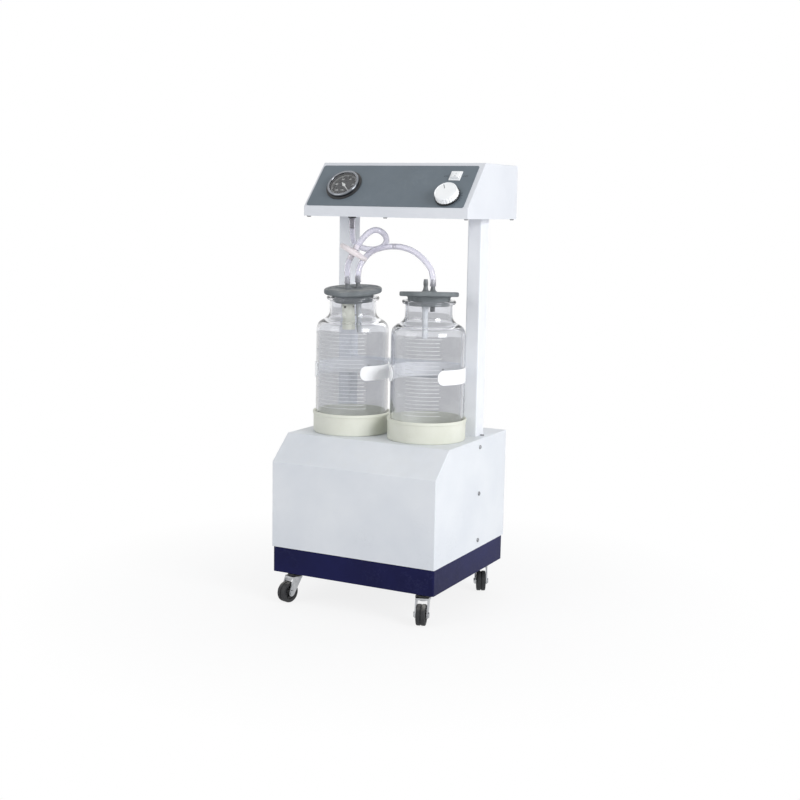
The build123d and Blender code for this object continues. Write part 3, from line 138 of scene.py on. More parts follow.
lampSettings = {
    "keyLamp": {"place": (3.2, -1.0, 1.7), "size": 1.6, "power": 80},
    "frontLamp": {"place": (-1.6, -2.8, 1.6), "size": 2.2, "power": 25},
    "backLamp": {"place": (-0.6, 2.4, 2.3), "size": 2.0, "power": 12},
}
lampAim = Vector((0, 0, 0.4))
worldLevel = 0.48  # the room's own light on the object
throughLevel = 0.66  # how bright the backdrop is where it is seen through glass


def addLights():
    for name, lamp in lampSettings.items():
        bpy.ops.object.light_add(type="AREA", location=lamp["place"])
        light = bpy.context.object
        light.name = name
        light.data.size = lamp["size"]
        light.data.energy = lamp["power"]
        light.rotation_euler = (lampAim - light.location).to_track_quat("-Z", "Y").to_euler()
    world = bpy.data.worlds.new("studio")
    bpy.context.scene.world = world
    world.use_nodes = True
    tree = world.node_tree
    path = tree.nodes.new("ShaderNodeLightPath")
    seen = addMath(tree, "MAXIMUM", path.outputs["Is Camera Ray"], path.outputs["Is Glossy Ray"])
    through = addRange(tree, path.outputs["Is Transmission Ray"], 0, 1, worldLevel, throughLevel)
    back = tree.nodes["Background"]
    back.inputs["Color"].default_value = (1, 1, 1, 1)
    tree.links.new(addMath(tree, "MAXIMUM", seen, through), back.inputs["Strength"])


# near the object the floor keeps a shadow, and past shadowEnds it is plain white
floorSettings = {"size": 14, "colour": (236, 236, 238), "whiteShare": 0.84, "shadowFull": 0.3,
                 "shadowEnds": 0.75}


def addFloor():
    deselectAll()
    bpy.ops.mesh.primitive_plane_add(size=floorSettings["size"], location=(0, 0, 0))
    floor = bpy.context.object
    floor.name = "studioFloor"
    surface = bpy.data.materials.new("studioFloor")
    surface.use_nodes = True
    tree = surface.node_tree
    base = tree.nodes["Principled BSDF"]
    base.inputs["Base Color"].default_value = paint(*floorSettings["colour"])
    base.inputs["Roughness"].default_value = 0.9
    base.inputs["Specular IOR Level"].default_value = 0.1
    path = tree.nodes.new("ShaderNodeLightPath")
    glow = tree.nodes.new("ShaderNodeEmission")
    bright = addRange(tree, path.outputs["Is Transmission Ray"], 0, 1, 1, throughLevel)
    tree.links.new(bright, glow.inputs["Strength"])
    seen = addMath(tree, "MAXIMUM", path.outputs["Is Camera Ray"], path.outputs["Is Transmission Ray"])
    seen = addMath(tree, "MAXIMUM", seen, path.outputs["Is Glossy Ray"])
    place = tree.nodes.new("ShaderNodeTexCoord")
    reach = tree.nodes.new("ShaderNodeVectorMath")
    reach.operation = "LENGTH"
    tree.links.new(place.outputs["Object"], reach.inputs[0])
    fade = addRange(tree, reach.outputs["Value"], floorSettings["shadowFull"], floorSettings["shadowEnds"],
                    floorSettings["whiteShare"], 1)
    mixed = tree.nodes.new("ShaderNodeMixShader")
    tree.links.new(addMath(tree, "MULTIPLY", seen, fade), mixed.inputs[0])
    tree.links.new(base.outputs[0], mixed.inputs[1])
    tree.links.new(glow.outputs[0], mixed.inputs[2])
    tree.links.new(mixed.outputs[0], tree.nodes["Material Output"].inputs["Surface"])
    floor.data.materials.append(surface)


addCamera()
addLights()
addFloor()
bpy.context.scene.view_settings.view_transform = "Standard"
print("camera, lights and floor are in")


# shared effects, each a node group


def makeToneDrift():
    # slow cloudy change between two tones of one paint
    group, entry, leave = newGroup(
        "toneDrift",
        [("Vector", "NodeSocketVector", None), ("Light Tone", "NodeSocketColor", (1, 1, 1, 1)),
         ("Dark Tone", "NodeSocketColor", (0.5, 0.5, 0.5, 1)), ("Patch Size", "NodeSocketFloat", 8.0)],
        [("Color", "NodeSocketColor")],
    )
    noise = addNoise(group, entry.outputs["Vector"], entry.outputs["Patch Size"], 4)
    share = addRange(group, noise.outputs["Fac"], 0.34, 0.68)
    mixed = addMix(group, share, entry.outputs["Light Tone"], entry.outputs["Dark Tone"])
    group.links.new(mixed, leave.inputs["Color"])
    return group


def makeSkinGrain():
    # fine pebbled skin: orange peel in paint, pores in rubber, grit in a casting
    group, entry, leave = newGroup(
        "skinGrain",
        [("Vector", "NodeSocketVector", None), ("Grain Size", "NodeSocketFloat", 900.0)],
        [("Height", "NodeSocketFloat")],
    )
    fine = addNoise(group, entry.outputs["Vector"], entry.outputs["Grain Size"], 3, 0.6)
    coarseSize = addMath(group, "MULTIPLY", entry.outputs["Grain Size"], 0.23)
    coarse = addNoise(group, entry.outputs["Vector"], coarseSize, 2)
    both = addMath(group, "ADD", fine.outputs["Fac"], coarse.outputs["Fac"])
    group.links.new(both, leave.inputs["Height"])
    return group


def makeUseMarks():
    # thin wandering scratches that come in patches
    group, entry, leave = newGroup(
        "useMarks",
        [("Vector", "NodeSocketVector", None), ("Mark Size", "NodeSocketFloat", 30.0),
         ("Amount", "NodeSocketFloat", 0.5)],
        [("Mask", "NodeSocketFloat")],
    )
    lines = addNoise(group, entry.outputs["Vector"], entry.outputs["Mark Size"], 6, 0.7)
    ridge = addMath(group, "ABSOLUTE", addMath(group, "SUBTRACT", lines.outputs["Fac"], 0.5), 0)
    thin = addRange(group, ridge, 0.0, 0.012, 1.0, 0.0)
    patchSize = addMath(group, "MULTIPLY", entry.outputs["Mark Size"], 0.35)
    patch = addNoise(group, entry.outputs["Vector"], patchSize, 2)
    here = addRange(group, patch.outputs["Fac"], 0.52, 0.66)
    mask = addMath(group, "MULTIPLY", addMath(group, "MULTIPLY", thin, here), entry.outputs["Amount"])
    group.links.new(mask, leave.inputs["Mask"])
    return group


def makeSettledDust():
    # dust that lies on what faces up, broken into patches
    group, entry, leave = newGroup(
        "settledDust",
        [("Vector", "NodeSocketVector", None), ("Normal", "NodeSocketVector", None),
         ("Amount", "NodeSocketFloat", 0.3)],
        [("Mask", "NodeSocketFloat")],
    )
    split = group.nodes.new("ShaderNodeSeparateXYZ")
    group.links.new(entry.outputs["Normal"], split.inputs[0])
    facing = addRange(group, split.outputs["Z"], 0.55, 1.0)
    noise = group.nodes.new("ShaderNodeTexNoise")
    noise.inputs["Scale"].default_value = 55
    noise.inputs["Detail"].default_value = 5
    group.links.new(entry.outputs["Vector"], noise.inputs["Vector"])
    broken = addRange(group, noise.outputs["Fac"], 0.4, 0.75)
    mask = addMath(group, "MULTIPLY", addMath(group, "MULTIPLY", facing, broken), entry.outputs["Amount"])
    group.links.new(mask, leave.inputs["Mask"])
    return group


toneDrift = makeToneDrift()
skinGrain = makeSkinGrain()
useMarks = makeUseMarks()
settledDust = makeSettledDust()
print("shared effects are ready")


def placeGroup(tree, group, values):
    node = tree.nodes.new("ShaderNodeGroup")
    node.node_tree = group
    for label, value in values.items():
        if isinstance(value, (int, float, tuple)):
            node.inputs[label].default_value = value
        else:
            tree.links.new(value, node.inputs[label])
    return node


# finishes: what a user would change is in this table
finishes = {
    "casingPaint": {"light": (224, 228, 233), "dark": (213, 218, 225), "patch": 6, "grain": 1500,
                    "bump": 0.10, "rough": (0.42, 0.52), "marks": 0.25, "markTone": (188, 192, 198),
                    "dust": 0.20},
    "headPaint": {"light": (221, 224, 230), "dark": (212, 216, 223), "patch": 6, "grain": 1500,
                  "bump": 0.10, "rough": (0.40, 0.50), "marks": 0.2, "markTone": (190, 193, 199),
                  "dust": 0.15},
    "trayPaint": {"light": (25, 28, 76), "dark": (19, 21, 60), "shine": 0.1, "patch": 7, "grain": 1400,
                  "bump": 0.14, "rough": (0.36, 0.50), "marks": 0.25, "markTone": (70, 74, 112),
                  "dust": 0.15},
    "columnPaint": {"light": (234, 237, 242), "dark": (226, 229, 235), "patch": 9, "grain": 1500,
                    "bump": 0.08, "rough": (0.38, 0.48), "marks": 0.3, "markTone": (188, 190, 196),
                    "dust": 0.1},
    "bandPaint": {"light": (248, 249, 251), "dark": (240, 242, 245), "patch": 18, "grain": 1500,
                  "bump": 0.06, "rough": (0.30, 0.42), "marks": 0.3, "markTone": (170, 172, 176),
                  "dust": 0.05},
    "panelPrint": {"light": (104, 115, 124), "dark": (97, 108, 117), "patch": 12, "grain": 2600,
                   "bump": 0.05, "rough": (0.46, 0.56), "marks": 0.3, "markTone": (128, 138, 146),
                   "dust": 0.08},
    "cupPlastic": {"light": (224, 226, 216), "dark": (214, 216, 203), "patch": 14, "grain": 1800,
                   "bump": 0.10, "rough": (0.40, 0.55), "marks": 0.35, "markTone": (192, 192, 176),
                   "dust": 0.2},
    "stopperRubber": {"light": (124, 130, 133), "dark": (100, 106, 110), "patch": 30, "grain": 1100,
                      "bump": 0.28, "rough": (0.68, 0.86), "marks": 0.25, "markTone": (168, 172, 173),
                      "dust": 0.5},
    "tubeRubber": {"light": (120, 122, 122), "dark": (98, 100, 101), "patch": 40, "grain": 1400,
                   "bump": 0.2, "rough": (0.6, 0.8), "marks": 0.1, "markTone": (140, 140, 140),
                   "dust": 0.1},
    "paleTube": {"light": (218, 221, 225), "dark": (204, 208, 213), "patch": 40, "grain": 1800,
                 "bump": 0.1, "rough": (0.36, 0.5), "marks": 0.15, "markTone": (186, 190, 194),
                 "dust": 0.05},
    "nozzlePlastic": {"light": (112, 116, 119), "dark": (96, 100, 104), "patch": 45, "grain": 2400,
                      "bump": 0.06, "rough": (0.34, 0.48), "marks": 0.2, "markTone": (150, 153, 156),
                      "dust": 0.1},
    "whitePlastic": {"light": (250, 252, 254), "dark": (242, 245, 248), "patch": 25, "grain": 2400,
                     "bump": 0.05, "rough": (0.26, 0.40), "marks": 0.25, "markTone": (205, 205, 200),
                     "dust": 0.1},
    "blackPlastic": {"light": (34, 35, 38), "dark": (22, 23, 26), "patch": 30, "grain": 1700, "bump": 0.16,
                     "rough": (0.36, 0.52), "marks": 0.3, "markTone": (80, 82, 86), "dust": 0.15},
    "dialBlack": {"light": (24, 25, 28), "dark": (16, 17, 20), "patch": 40, "grain": 3000, "bump": 0.04,
                  "rough": (0.5, 0.62), "marks": 0.0, "markTone": (60, 60, 60), "dust": 0.0},
    "wheelRubber": {"light": (40, 41, 44), "dark": (26, 27, 30), "patch": 35, "grain": 1300, "bump": 0.3,
                    "rough": (0.55, 0.78), "marks": 0.7, "markTone": (96, 96, 98), "dust": 0.6},
    "zincPlate": {"light": (196, 198, 200), "dark": (166, 168, 172), "patch": 60, "grain": 900,
                  "bump": 0.08, "rough": (0.24, 0.42), "marks": 0.6, "markTone": (120, 120, 124),
                  "dust": 0.2, "metal": 1, "stretch": (1, 1, 0.25)},
    "darkSteel": {"light": (92, 92, 96), "dark": (66, 66, 70), "patch": 50, "grain": 1000, "bump": 0.1,
                  "rough": (0.32, 0.5), "marks": 0.4, "markTone": (140, 140, 144), "dust": 0.1,
                  "metal": 1},
    "castAlloy": {"light": (168, 170, 172), "dark": (138, 140, 143), "patch": 22, "grain": 700,
                  "bump": 0.4, "rough": (0.45, 0.66), "marks": 0.3, "markTone": (196, 197, 198),
                  "dust": 0.3, "metal": 1},
    "turnedBrass": {"light": (206, 174, 108), "dark": (176, 142, 82), "patch": 45, "grain": 1200,
                    "bump": 0.08, "rough": (0.24, 0.4), "marks": 0.4, "markTone": (120, 96, 56),
                    "dust": 0.1, "metal": 1},
    "polishedChrome": {"light": (150, 153, 158), "dark": (128, 131, 137), "patch": 30, "grain": 2500,
                       "bump": 0.01, "rough": (0.06, 0.14), "marks": 0.3, "markTone": (150, 152, 156),
                       "dust": 0.03, "metal": 1},
    "printWhite": {"light": (238, 238, 236), "dark": (222, 222, 220), "patch": 60, "grain": 3000,
                   "bump": 0.02, "rough": (0.5, 0.6), "marks": 0.0, "markTone": (200, 200, 200),
                   "dust": 0.0},
    "scalePrint": {"light": (224, 226, 229), "dark": (214, 217, 221), "patch": 60, "grain": 3000,
                   "bump": 0.02, "rough": (0.5, 0.6), "marks": 0.0, "markTone": (200, 200, 200),
                   "dust": 0.0},
    "filterPlastic": {"light": (236, 230, 232), "dark": (224, 216, 219), "patch": 30, "grain": 2400,
                      "bump": 0.05, "rough": (0.3, 0.44), "marks": 0.2, "markTone": (200, 196, 196),
                      "dust": 0.05},
    "printDark": {"light": (52, 56, 62), "dark": (42, 46, 52), "patch": 60, "grain": 3000, "bump": 0.02,
                  "rough": (0.5, 0.6), "marks": 0.0, "markTone": (200, 200, 200), "dust": 0.0},
}


dustTone = (206, 204, 198)
grainDepth = 0.0004


def makeFinish(name, look):
    surface = bpy.data.materials.new(name)
    surface.use_nodes = True
    tree = surface.node_tree
    base = tree.nodes["Principled BSDF"]
    place = tree.nodes.new("ShaderNodeTexCoord")
    mapping = tree.nodes.new("ShaderNodeMapping")
    mapping.inputs["Scale"].default_value = look.get("stretch", (1, 1, 1))
    tree.links.new(place.outputs["Object"], mapping.inputs["Vector"])
    where = mapping.outputs["Vector"]
    tone = placeGroup(tree, toneDrift, {
        "Vector": where, "Light Tone": paint(*look["light"]), "Dark Tone": paint(*look["dark"]),
        "Patch Size": look["patch"],
    })
    grain = placeGroup(tree, skinGrain, {"Vector": where, "Grain Size": look["grain"]})
    marks = placeGroup(tree, useMarks, {
        "Vector": where, "Mark Size": look["patch"] * 2.5, "Amount": look["marks"],
    })
    dust = placeGroup(tree, settledDust, {
        "Vector": where, "Normal": place.outputs["Normal"], "Amount": look["dust"],
    })
    worn = addMix(tree, marks.outputs["Mask"], tone.outputs["Color"], paint(*look["markTone"]))
    dusty = addMix(tree, dust.outputs["Mask"], worn, paint(*dustTone))
    tree.links.new(dusty, base.inputs["Base Color"])
    low, high = look["rough"]
    spread = addRange(tree, grain.outputs["Height"], 0.7, 1.3, low, high)
    duller = addMath(tree, "MULTIPLY", dust.outputs["Mask"], 0.4)
    tree.links.new(addMath(tree, "ADD", spread, duller), base.inputs["Roughness"])
    base.inputs["Metallic"].default_value = look.get("metal", 0)
    base.inputs["Specular IOR Level"].default_value = look.get("shine", 0.5)
    bump = tree.nodes.new("ShaderNodeBump")
    bump.inputs["Strength"].default_value = look["bump"]
    bump.inputs["Distance"].default_value = grainDepth
    tree.links.new(grain.outputs["Height"], bump.inputs["Height"])
    tree.links.new(bump.outputs[0], base.inputs["Normal"])
    return surface


surfaces = {name: makeFinish(name, look) for name, look in finishes.items()}


clearLooks = {
    "jarGlass": {"tint": (238, 239, 242), "index": 1.46, "rough": (0.0, 0.05), "smudge": 16, "bump": 0.05,
                 "clear": 1},
    "gaugeGlass": {"tint": (246, 248, 250), "index": 1.45, "rough": (0.0, 0.04), "smudge": 60, "bump": 0.03,
                   "clear": 1},
    "clearHose": {"tint": (243, 242, 250), "index": 1.36, "rough": (0.06, 0.16), "smudge": 40, "bump": 0.03,
                  "clear": 0.8},
}
smearDepth = 0.0006
lightThrough = 0.97  # share of the lamps' and the room's light that passes a clear wall without bending


def makeClear(name, look):
    surface = bpy.data.materials.new(name)
    surface.use_nodes = True
    tree = surface.node_tree
    base = tree.nodes["Principled BSDF"]
    place = tree.nodes.new("ShaderNodeTexCoord")
    size = tree.nodes.new("ShaderNodeValue")
    size.outputs[0].default_value = look["smudge"]
    smudges = addNoise(tree, place.outputs["Object"], size.outputs[0], 4)
    haze = addRange(tree, smudges.outputs["Fac"], 0.45, 0.8, *look["rough"])
    tree.links.new(haze, base.inputs["Roughness"])
    grain = placeGroup(tree, skinGrain, {
        "Vector": place.outputs["Object"], "Grain Size": look["smudge"] * 3.0,
    })
    bump = tree.nodes.new("ShaderNodeBump")
    bump.inputs["Strength"].default_value = look["bump"]
    bump.inputs["Distance"].default_value = smearDepth
    tree.links.new(grain.outputs["Height"], bump.inputs["Height"])
    tree.links.new(bump.outputs[0], base.inputs["Normal"])
    tint = placeGroup(tree, toneDrift, {
        "Vector": place.outputs["Object"], "Light Tone": paint(*look["tint"]),
        "Dark Tone": paint(*[part - 8 for part in look["tint"]]), "Patch Size": look["smudge"],
    })
    tree.links.new(tint.outputs["Color"], base.inputs["Base Color"])
    base.inputs["Transmission Weight"].default_value = look["clear"]
    base.inputs["IOR"].default_value = look["index"]
    path = tree.nodes.new("ShaderNodeLightPath")
    unseen = addMath(tree, "MAXIMUM", path.outputs["Is Shadow Ray"], path.outputs["Is Diffuse Ray"])
    solid = addRange(tree, unseen, 0.0, 1.0, 1.0, 1.0 - lightThrough)
    tree.links.new(solid, base.inputs["Alpha"])
    return surface


for name, look in clearLooks.items():
    surfaces[name] = makeClear(name, look)
print("finishes are mixed")


nodeFinishes = {
    "trayPaint": ["base_tray"],
    "casingPaint": ["casing_wrap", "rear_cover"],
    "headPaint": ["head_shell", "head_plate"],
    "columnPaint": ["columns", "clamp_bar"],
    "bandPaint": ["clamp_bands"],
    "panelPrint": ["control_panel"],
    "cupPlastic": ["jar_seats", "float_cage"],
    "stopperRubber": ["stopper_left", "stopper_right"],
    "tubeRubber": ["caster_rings"],
    "paleTube": ["down_tube_left", "down_tube_right"],
    "nozzlePlastic": ["nozzles_left", "nozzles_right"],
    "whitePlastic": ["switch_frame", "switch_rocker", "regulator_knob", "line_filter", "valve_float",
                     "gauge_pointer"],
    "blackPlastic": ["power_inlet", "fuse_holder", "gauge_case", "vacuum_port", "pump_fans"],
    "dialBlack": ["gauge_dial"],
    "wheelRubber": [name for name in nodes if name.startswith("caster_wheel")],
    "zincPlate": [name for name in nodes if name.startswith("caster_fork")]
    + ["caster_kingpins", "inner_posts", "column_bolts", "regulator_spindle"],
    "darkSteel": ["pump_mount", "pump_shaft"],
    "castAlloy": ["pan_head_screws", "motor_housing", "crankcases", "pump_cylinders", "pump_heads",
                  "column_plugs"],
    "turnedBrass": ["gauge_movement", "regulator_valve"],
    "polishedChrome": ["gauge_bezel"],
    "jarGlass": ["jar_left", "jar_right"],
    "gaugeGlass": ["gauge_lens"],
    "clearHose": ["hose_port_to_filter", "hose_filter_to_jar", "hose_jar_to_jar", "vacuum_line"],
}
for finish, names in nodeFinishes.items():
    for name in names:
        nodes[name].data.materials.clear()
        nodes[name].data.materials.append(surfaces[finish])
print("the fixed parts have their finishes")


# turned pieces: an outline of (radius, height) pairs spun about a line


def markFaces(piece, wanted):
    # edit mode on, only the wanted faces picked
    pickOnly(piece)
    for face in piece.data.polygons:
        face.select = wanted(face)
    for edge in piece.data.edges:
        edge.select = False
    for vertex in piece.data.vertices:
        vertex.select = False
    for face in piece.data.polygons:
        if face.select:
            for index in face.vertices:
                piece.data.vertices[index].select = True
    bpy.ops.object.mode_set(mode="EDIT")
    bpy.ops.mesh.select_mode(type="FACE")


def settle(piece):
    pickOnly(piece)
    bpy.ops.object.transform_apply(location=True, rotation=True, scale=True)


def turnTo(piece, place, axis=up, twist=0.0):
    # stands a piece that was made at the middle on its place, then settles it
    turned = Vector(axis).normalized().to_track_quat("Z", "Y").to_matrix().to_4x4()
    piece.matrix_world = Matrix.Translation(Vector(place)) @ turned @ Matrix.Rotation(twist, 4, "Z")
    settle(piece)


def softenEdges(piece, width, segments=3, angle=35):
    soft = piece.modifiers.new("soft", "BEVEL")
    soft.width = width
    soft.segments = segments
    soft.limit_method = "ANGLE"
    soft.angle_limit = radians(angle)
    soft.harden_normals = False
    pickOnly(piece)
    bpy.ops.object.modifier_apply(modifier="soft")


def giveBody(piece, thick):
    # print that was flat so far gets a little height on its front
    pickOnly(piece)
    bpy.ops.object.mode_set(mode="EDIT")
    bpy.ops.mesh.select_mode(type="VERT")
    bpy.ops.mesh.select_all(action="SELECT")
    bpy.ops.mesh.remove_doubles(threshold=0.000002)
    bpy.ops.object.mode_set(mode="OBJECT")
    body = piece.modifiers.new("body", "SOLIDIFY")
    body.thickness = thick
    body.offset = 1
    bpy.ops.object.modifier_apply(modifier="body")


def smoothShade(piece, angle=35):
    pickOnly(piece)
    bpy.ops.object.shade_smooth_by_angle(angle=radians(angle))


def bend(first, middle, last, count=8):
    # points of a soft bend from first to last, pulled towards middle
    return [
        tuple((1 - t) ** 2 * a + 2 * t * (1 - t) * b + t * t * c for a, b, c in zip(first, middle, last))
        for t in [step / count for step in range(count + 1)]
    ]


def turnedPiece(name, outline, place, axis=up, steps=96, soft=0.0):
    deselectAll()
    bpy.ops.mesh.primitive_plane_add(size=0.001)
    piece = bpy.context.object
    piece.name = name
    piece.data.name = name
    bpy.ops.object.mode_set(mode="EDIT")
    bpy.ops.mesh.select_mode(type="VERT")
    bpy.ops.mesh.select_all(action="SELECT")
    bpy.ops.mesh.merge(type="CENTER")
    spot = Vector((outline[0][0], 0, outline[0][1]))
    bpy.ops.transform.translate(value=spot)
    for radius, height in outline[1:]:
        step = Vector((radius, 0, height)) - spot
        bpy.ops.mesh.extrude_region_move(TRANSFORM_OT_translate={"value": step})
        spot = Vector((radius, 0, height))
    bpy.ops.mesh.select_all(action="SELECT")
    if outline[0][0] > 0 and outline[-1][0] > 0:  # a ring's outline is closed first
        bpy.ops.mesh.edge_face_add()
        bpy.ops.mesh.delete(type="ONLY_FACE")
        bpy.ops.mesh.select_all(action="SELECT")
    bpy.ops.mesh.spin(steps=steps, angle=2 * pi, center=(0, 0, 0), axis=(0, 0, 1))
    bpy.ops.mesh.select_all(action="SELECT")
    bpy.ops.mesh.remove_doubles(threshold=0.000005)
    bpy.ops.mesh.normals_make_consistent(inside=False)
    bpy.ops.object.mode_set(mode="OBJECT")
    if soft:
        softenEdges(piece, soft)
    turnTo(piece, place, axis)
    smoothShade(piece)
    return piece


def dress(piece, finish, body, slot, *replaced):
    piece.data.materials.clear()
    piece.data.materials.append(surfaces[finish])
    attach(piece, body)
    if replaced:
        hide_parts(*replaced)
    return piece


def joinPieces(name, pieces):
    deselectAll()
    for piece in pieces:
        piece.select_set(True)
    bpy.context.view_layer.objects.active = pieces[0]
    if len(pieces) > 1:
        bpy.ops.object.join()
    whole = bpy.context.object
    whole.name = name
    whole.data.name = name
    return whole


# jars: blown glass with a rolled rim and a raised scale
jar = {"x": 0.0826, "y": -0.021, "bottom": 0.3297, "radius": 0.071, "wall": 0.004, "floor": 0.005,
       "body": 0.195, "shoulder": 0.032, "neck": 0.028, "neckRadius": 0.0455, "rimRadius": 0.052,
       "rim": 0.007, "punt": 0.003, "foot": 0.010, "heel": 0.008, "steps": 112}
jarPlaces = {"left": Vector((-jar["x"], jar["y"], 0)), "right": Vector((jar["x"], jar["y"], 0))}
mouthHeight = jar["bottom"] + jar["body"] + jar["shoulder"] + jar["neck"] + jar["rim"]


def jarOutline():
    outer, neck, wall = jar["radius"], jar["neckRadius"], jar["wall"]
    inner, bore = outer - wall, neck - wall
    low = jar["bottom"]
    floor = low + jar["floor"]
    shoulder = low + jar["body"]
    neckLow = shoulder + jar["shoulder"]
    rimLow = neckLow + jar["neck"]
    rimHigh, rimWide, rimOut = rimLow + jar["rim"] / 2, jar["rimRadius"] + 0.001, jar["rimRadius"] - 0.002
    # outside: hollow base, foot ring, heel, shoulder, neck and rolled rim
    outline = [(0, low + jar["punt"])]
    outline += bend((outer - 0.018, low + 0.002), (outer - 0.014, low), (outer - jar["foot"], low), 3)
    outline += bend((outer - 0.006, low), (outer, low), (outer, low + jar["heel"]), 6)
    outline += bend((outer, shoulder), (outer, shoulder + 0.016), (neck + 0.012, neckLow - 0.010), 8)
    outline += bend((neck + 0.009, neckLow - 0.008), (neck, neckLow - 0.004), (neck, neckLow + 0.006), 6)
    outline += bend((neck, rimLow - 0.003), (neck, rimLow), (neck + 0.003, rimLow), 3)
    outline += bend((rimOut, rimLow), (rimWide, rimHigh), (rimOut, mouthHeight), 6)
    # inside: mouth, neck, shoulder, wall and floor
    outline += bend((bore + 0.002, mouthHeight), (bore, mouthHeight), (bore, mouthHeight - 0.002), 3)
    outline += bend((bore, neckLow + 0.006), (bore, neckLow - 0.006), (bore + 0.009, neckLow - 0.013), 6)
    outline += bend((bore + 0.012, neckLow - 0.015), (inner, shoulder + 0.013), (inner, shoulder - 0.001), 8)
    outline += bend((inner, floor + 0.006), (inner, floor), (inner - 0.006, floor), 5)
    outline += [(inner - 0.016, floor + 0.001), (0, floor + 0.0025)]
    return outline


jarScale = {"lowest": 0.379, "step": 0.0072, "count": 20, "group": 5, "each": 100, "longExtra": 3,
            "line": 0.0008, "proud": 0.00012, "thick": 0.00008, "numberSize": 0.0085, "numberGap": 2,
            "pieces": 20}
scaleTurns = {"left": (8, 40), "right": (17, 27)}  # middle of the lines and half their sweep, in degrees


def addScale(side):
    # thin printed lines that follow the glass, long at each fifth one, with a number there
    reach = jar["radius"] + jarScale["proud"]
    middle, sweep = scaleTurns[side]
    strips = []
    for index in range(jarScale["count"] + 1):
        longOne = index % jarScale["group"] == 0
        half = sweep + jarScale["longExtra"] if longOne else sweep
        height = jarScale["lowest"] + index * jarScale["step"]
        deselectAll()
        bpy.ops.mesh.primitive_grid_add(x_subdivisions=jarScale["pieces"], y_subdivisions=1, size=1)
        strip = bpy.context.object
        for vertex in strip.data.vertices:
            turn = radians(middle + 2 * half * vertex.co.x)
            rise = height + vertex.co.y * jarScale["line"]
            vertex.co = (reach * sin(turn), -reach * cos(turn), rise)
        strips.append(strip)
        if longOne and index:
            start = radians(middle - half - jarScale["numberGap"])
            strips.append(wrappedNumber(str(index * jarScale["each"]), reach, height, start))
    marks = joinPieces("scale_" + side, strips)
    giveBody(marks, jarScale["thick"])
    marks.location = jarPlaces[side]
    settle(marks)
    return dress(marks, "scalePrint", "stand", "white_plastic")


def wrappedNumber(words, reach, height, start):
    deselectAll()
    bpy.ops.object.text_add()
    text = bpy.context.object
    text.data.body = words
    text.data.size = jarScale["numberSize"]
    text.data.align_x = "RIGHT"
    text.data.align_y = "CENTER"
    text.data.resolution_u = 3
    bpy.ops.object.convert(target="MESH")
    number = bpy.context.object
    for vertex in number.data.vertices:
        turn = start + vertex.co.x / reach
        vertex.co = (reach * sin(turn), -reach * cos(turn), height + vertex.co.y)
    return number


def addJars():
    for side, place in jarPlaces.items():
        glass = turnedPiece("glass_" + side, jarOutline(), place, steps=jar["steps"])
        dress(glass, "jarGlass", "stand", "clear_glass", "jar_" + side)
        addScale(side)


addJars()
print("jars are blown and marked")


# cups under the jars
cup = {"low": 0.3254, "height": 0.0413, "base": 0.075, "rim": 0.0764, "wall": 0.0026, "floor": 0.004,
       "screwHole": 0.0045, "bead": 0.0055, "edge": 0.001, "soft": 0.0005, "steps": 112}


def addCups():
    low, high, hole, edge = cup["low"], cup["low"] + cup["height"], cup["screwHole"], cup["edge"]
    base, rim, inner = cup["base"], cup["rim"], cup["rim"] - cup["wall"]
    # outside from the screw hole, then the bead under the rim, then down the inside
    outline = [(hole, low), (base - 0.0015, low), (base, low + 0.0015)]
    outline += [(rim - 0.0011, high - cup["bead"] - edge), (rim + 0.0001, high - cup["bead"])]
    outline += [(rim + 0.0001, high - edge), (rim - 0.0008, high)]
    outline += [(inner + 0.0004, high), (inner - 0.0001, high - edge), (base - 0.0029, low + 0.007)]
    outline += [(base - 0.006, low + cup["floor"]), (hole, low + cup["floor"])]
    cups = [turnedPiece("cup", outline, place, steps=cup["steps"], soft=cup["soft"])
            for place in jarPlaces.values()]
    dress(joinPieces("jarCups", cups), "cupPlastic", "stand", "cream_plastic", "jar_seats")


addCups()
print("cups are moulded")


# stoppers with their nozzles, each a little out of true as it was pushed in
leans = {"left": Vector((0.0017, -0.098, 1)).normalized(), "right": Vector((-0.0323, 0.062, 1)).normalized()}
stopper = {"radius": 0.0565, "lift": 0.0065, "thick": 0.009, "plugTop": 0.0411, "plugMouth": 0.0403,
           "plugLow": 0.0375, "plugDepth": 0.010, "round": 0.003, "groove": 0.0007, "steps": 112}
nozzle = {"offset": 0.012, "radius": 0.0045, "bore": 0.003, "low": -0.022, "top": 0.039, "cone": 0.0075,
          "coneHeight": 0.006, "waist": 0.0005, "steps": 40}
nozzleTurns = {"left": 60, "right": 81}  # which way the pair of nozzles stands


def seatPoint(side, x, y, height):
    lean = leans[side]
    across = (Vector((1, 0, 0)) - lean * lean.x).normalized()
    return jarPlaces[side] + up * mouthHeight + across * x + lean.cross(across) * y + lean * height


def nozzleSpot(side, back, height):
    turn = radians(nozzleTurns[side])
    way = 1 if back else -1
    return seatPoint(side, way * nozzle["offset"] * cos(turn), way * nozzle["offset"] * sin(turn), height)


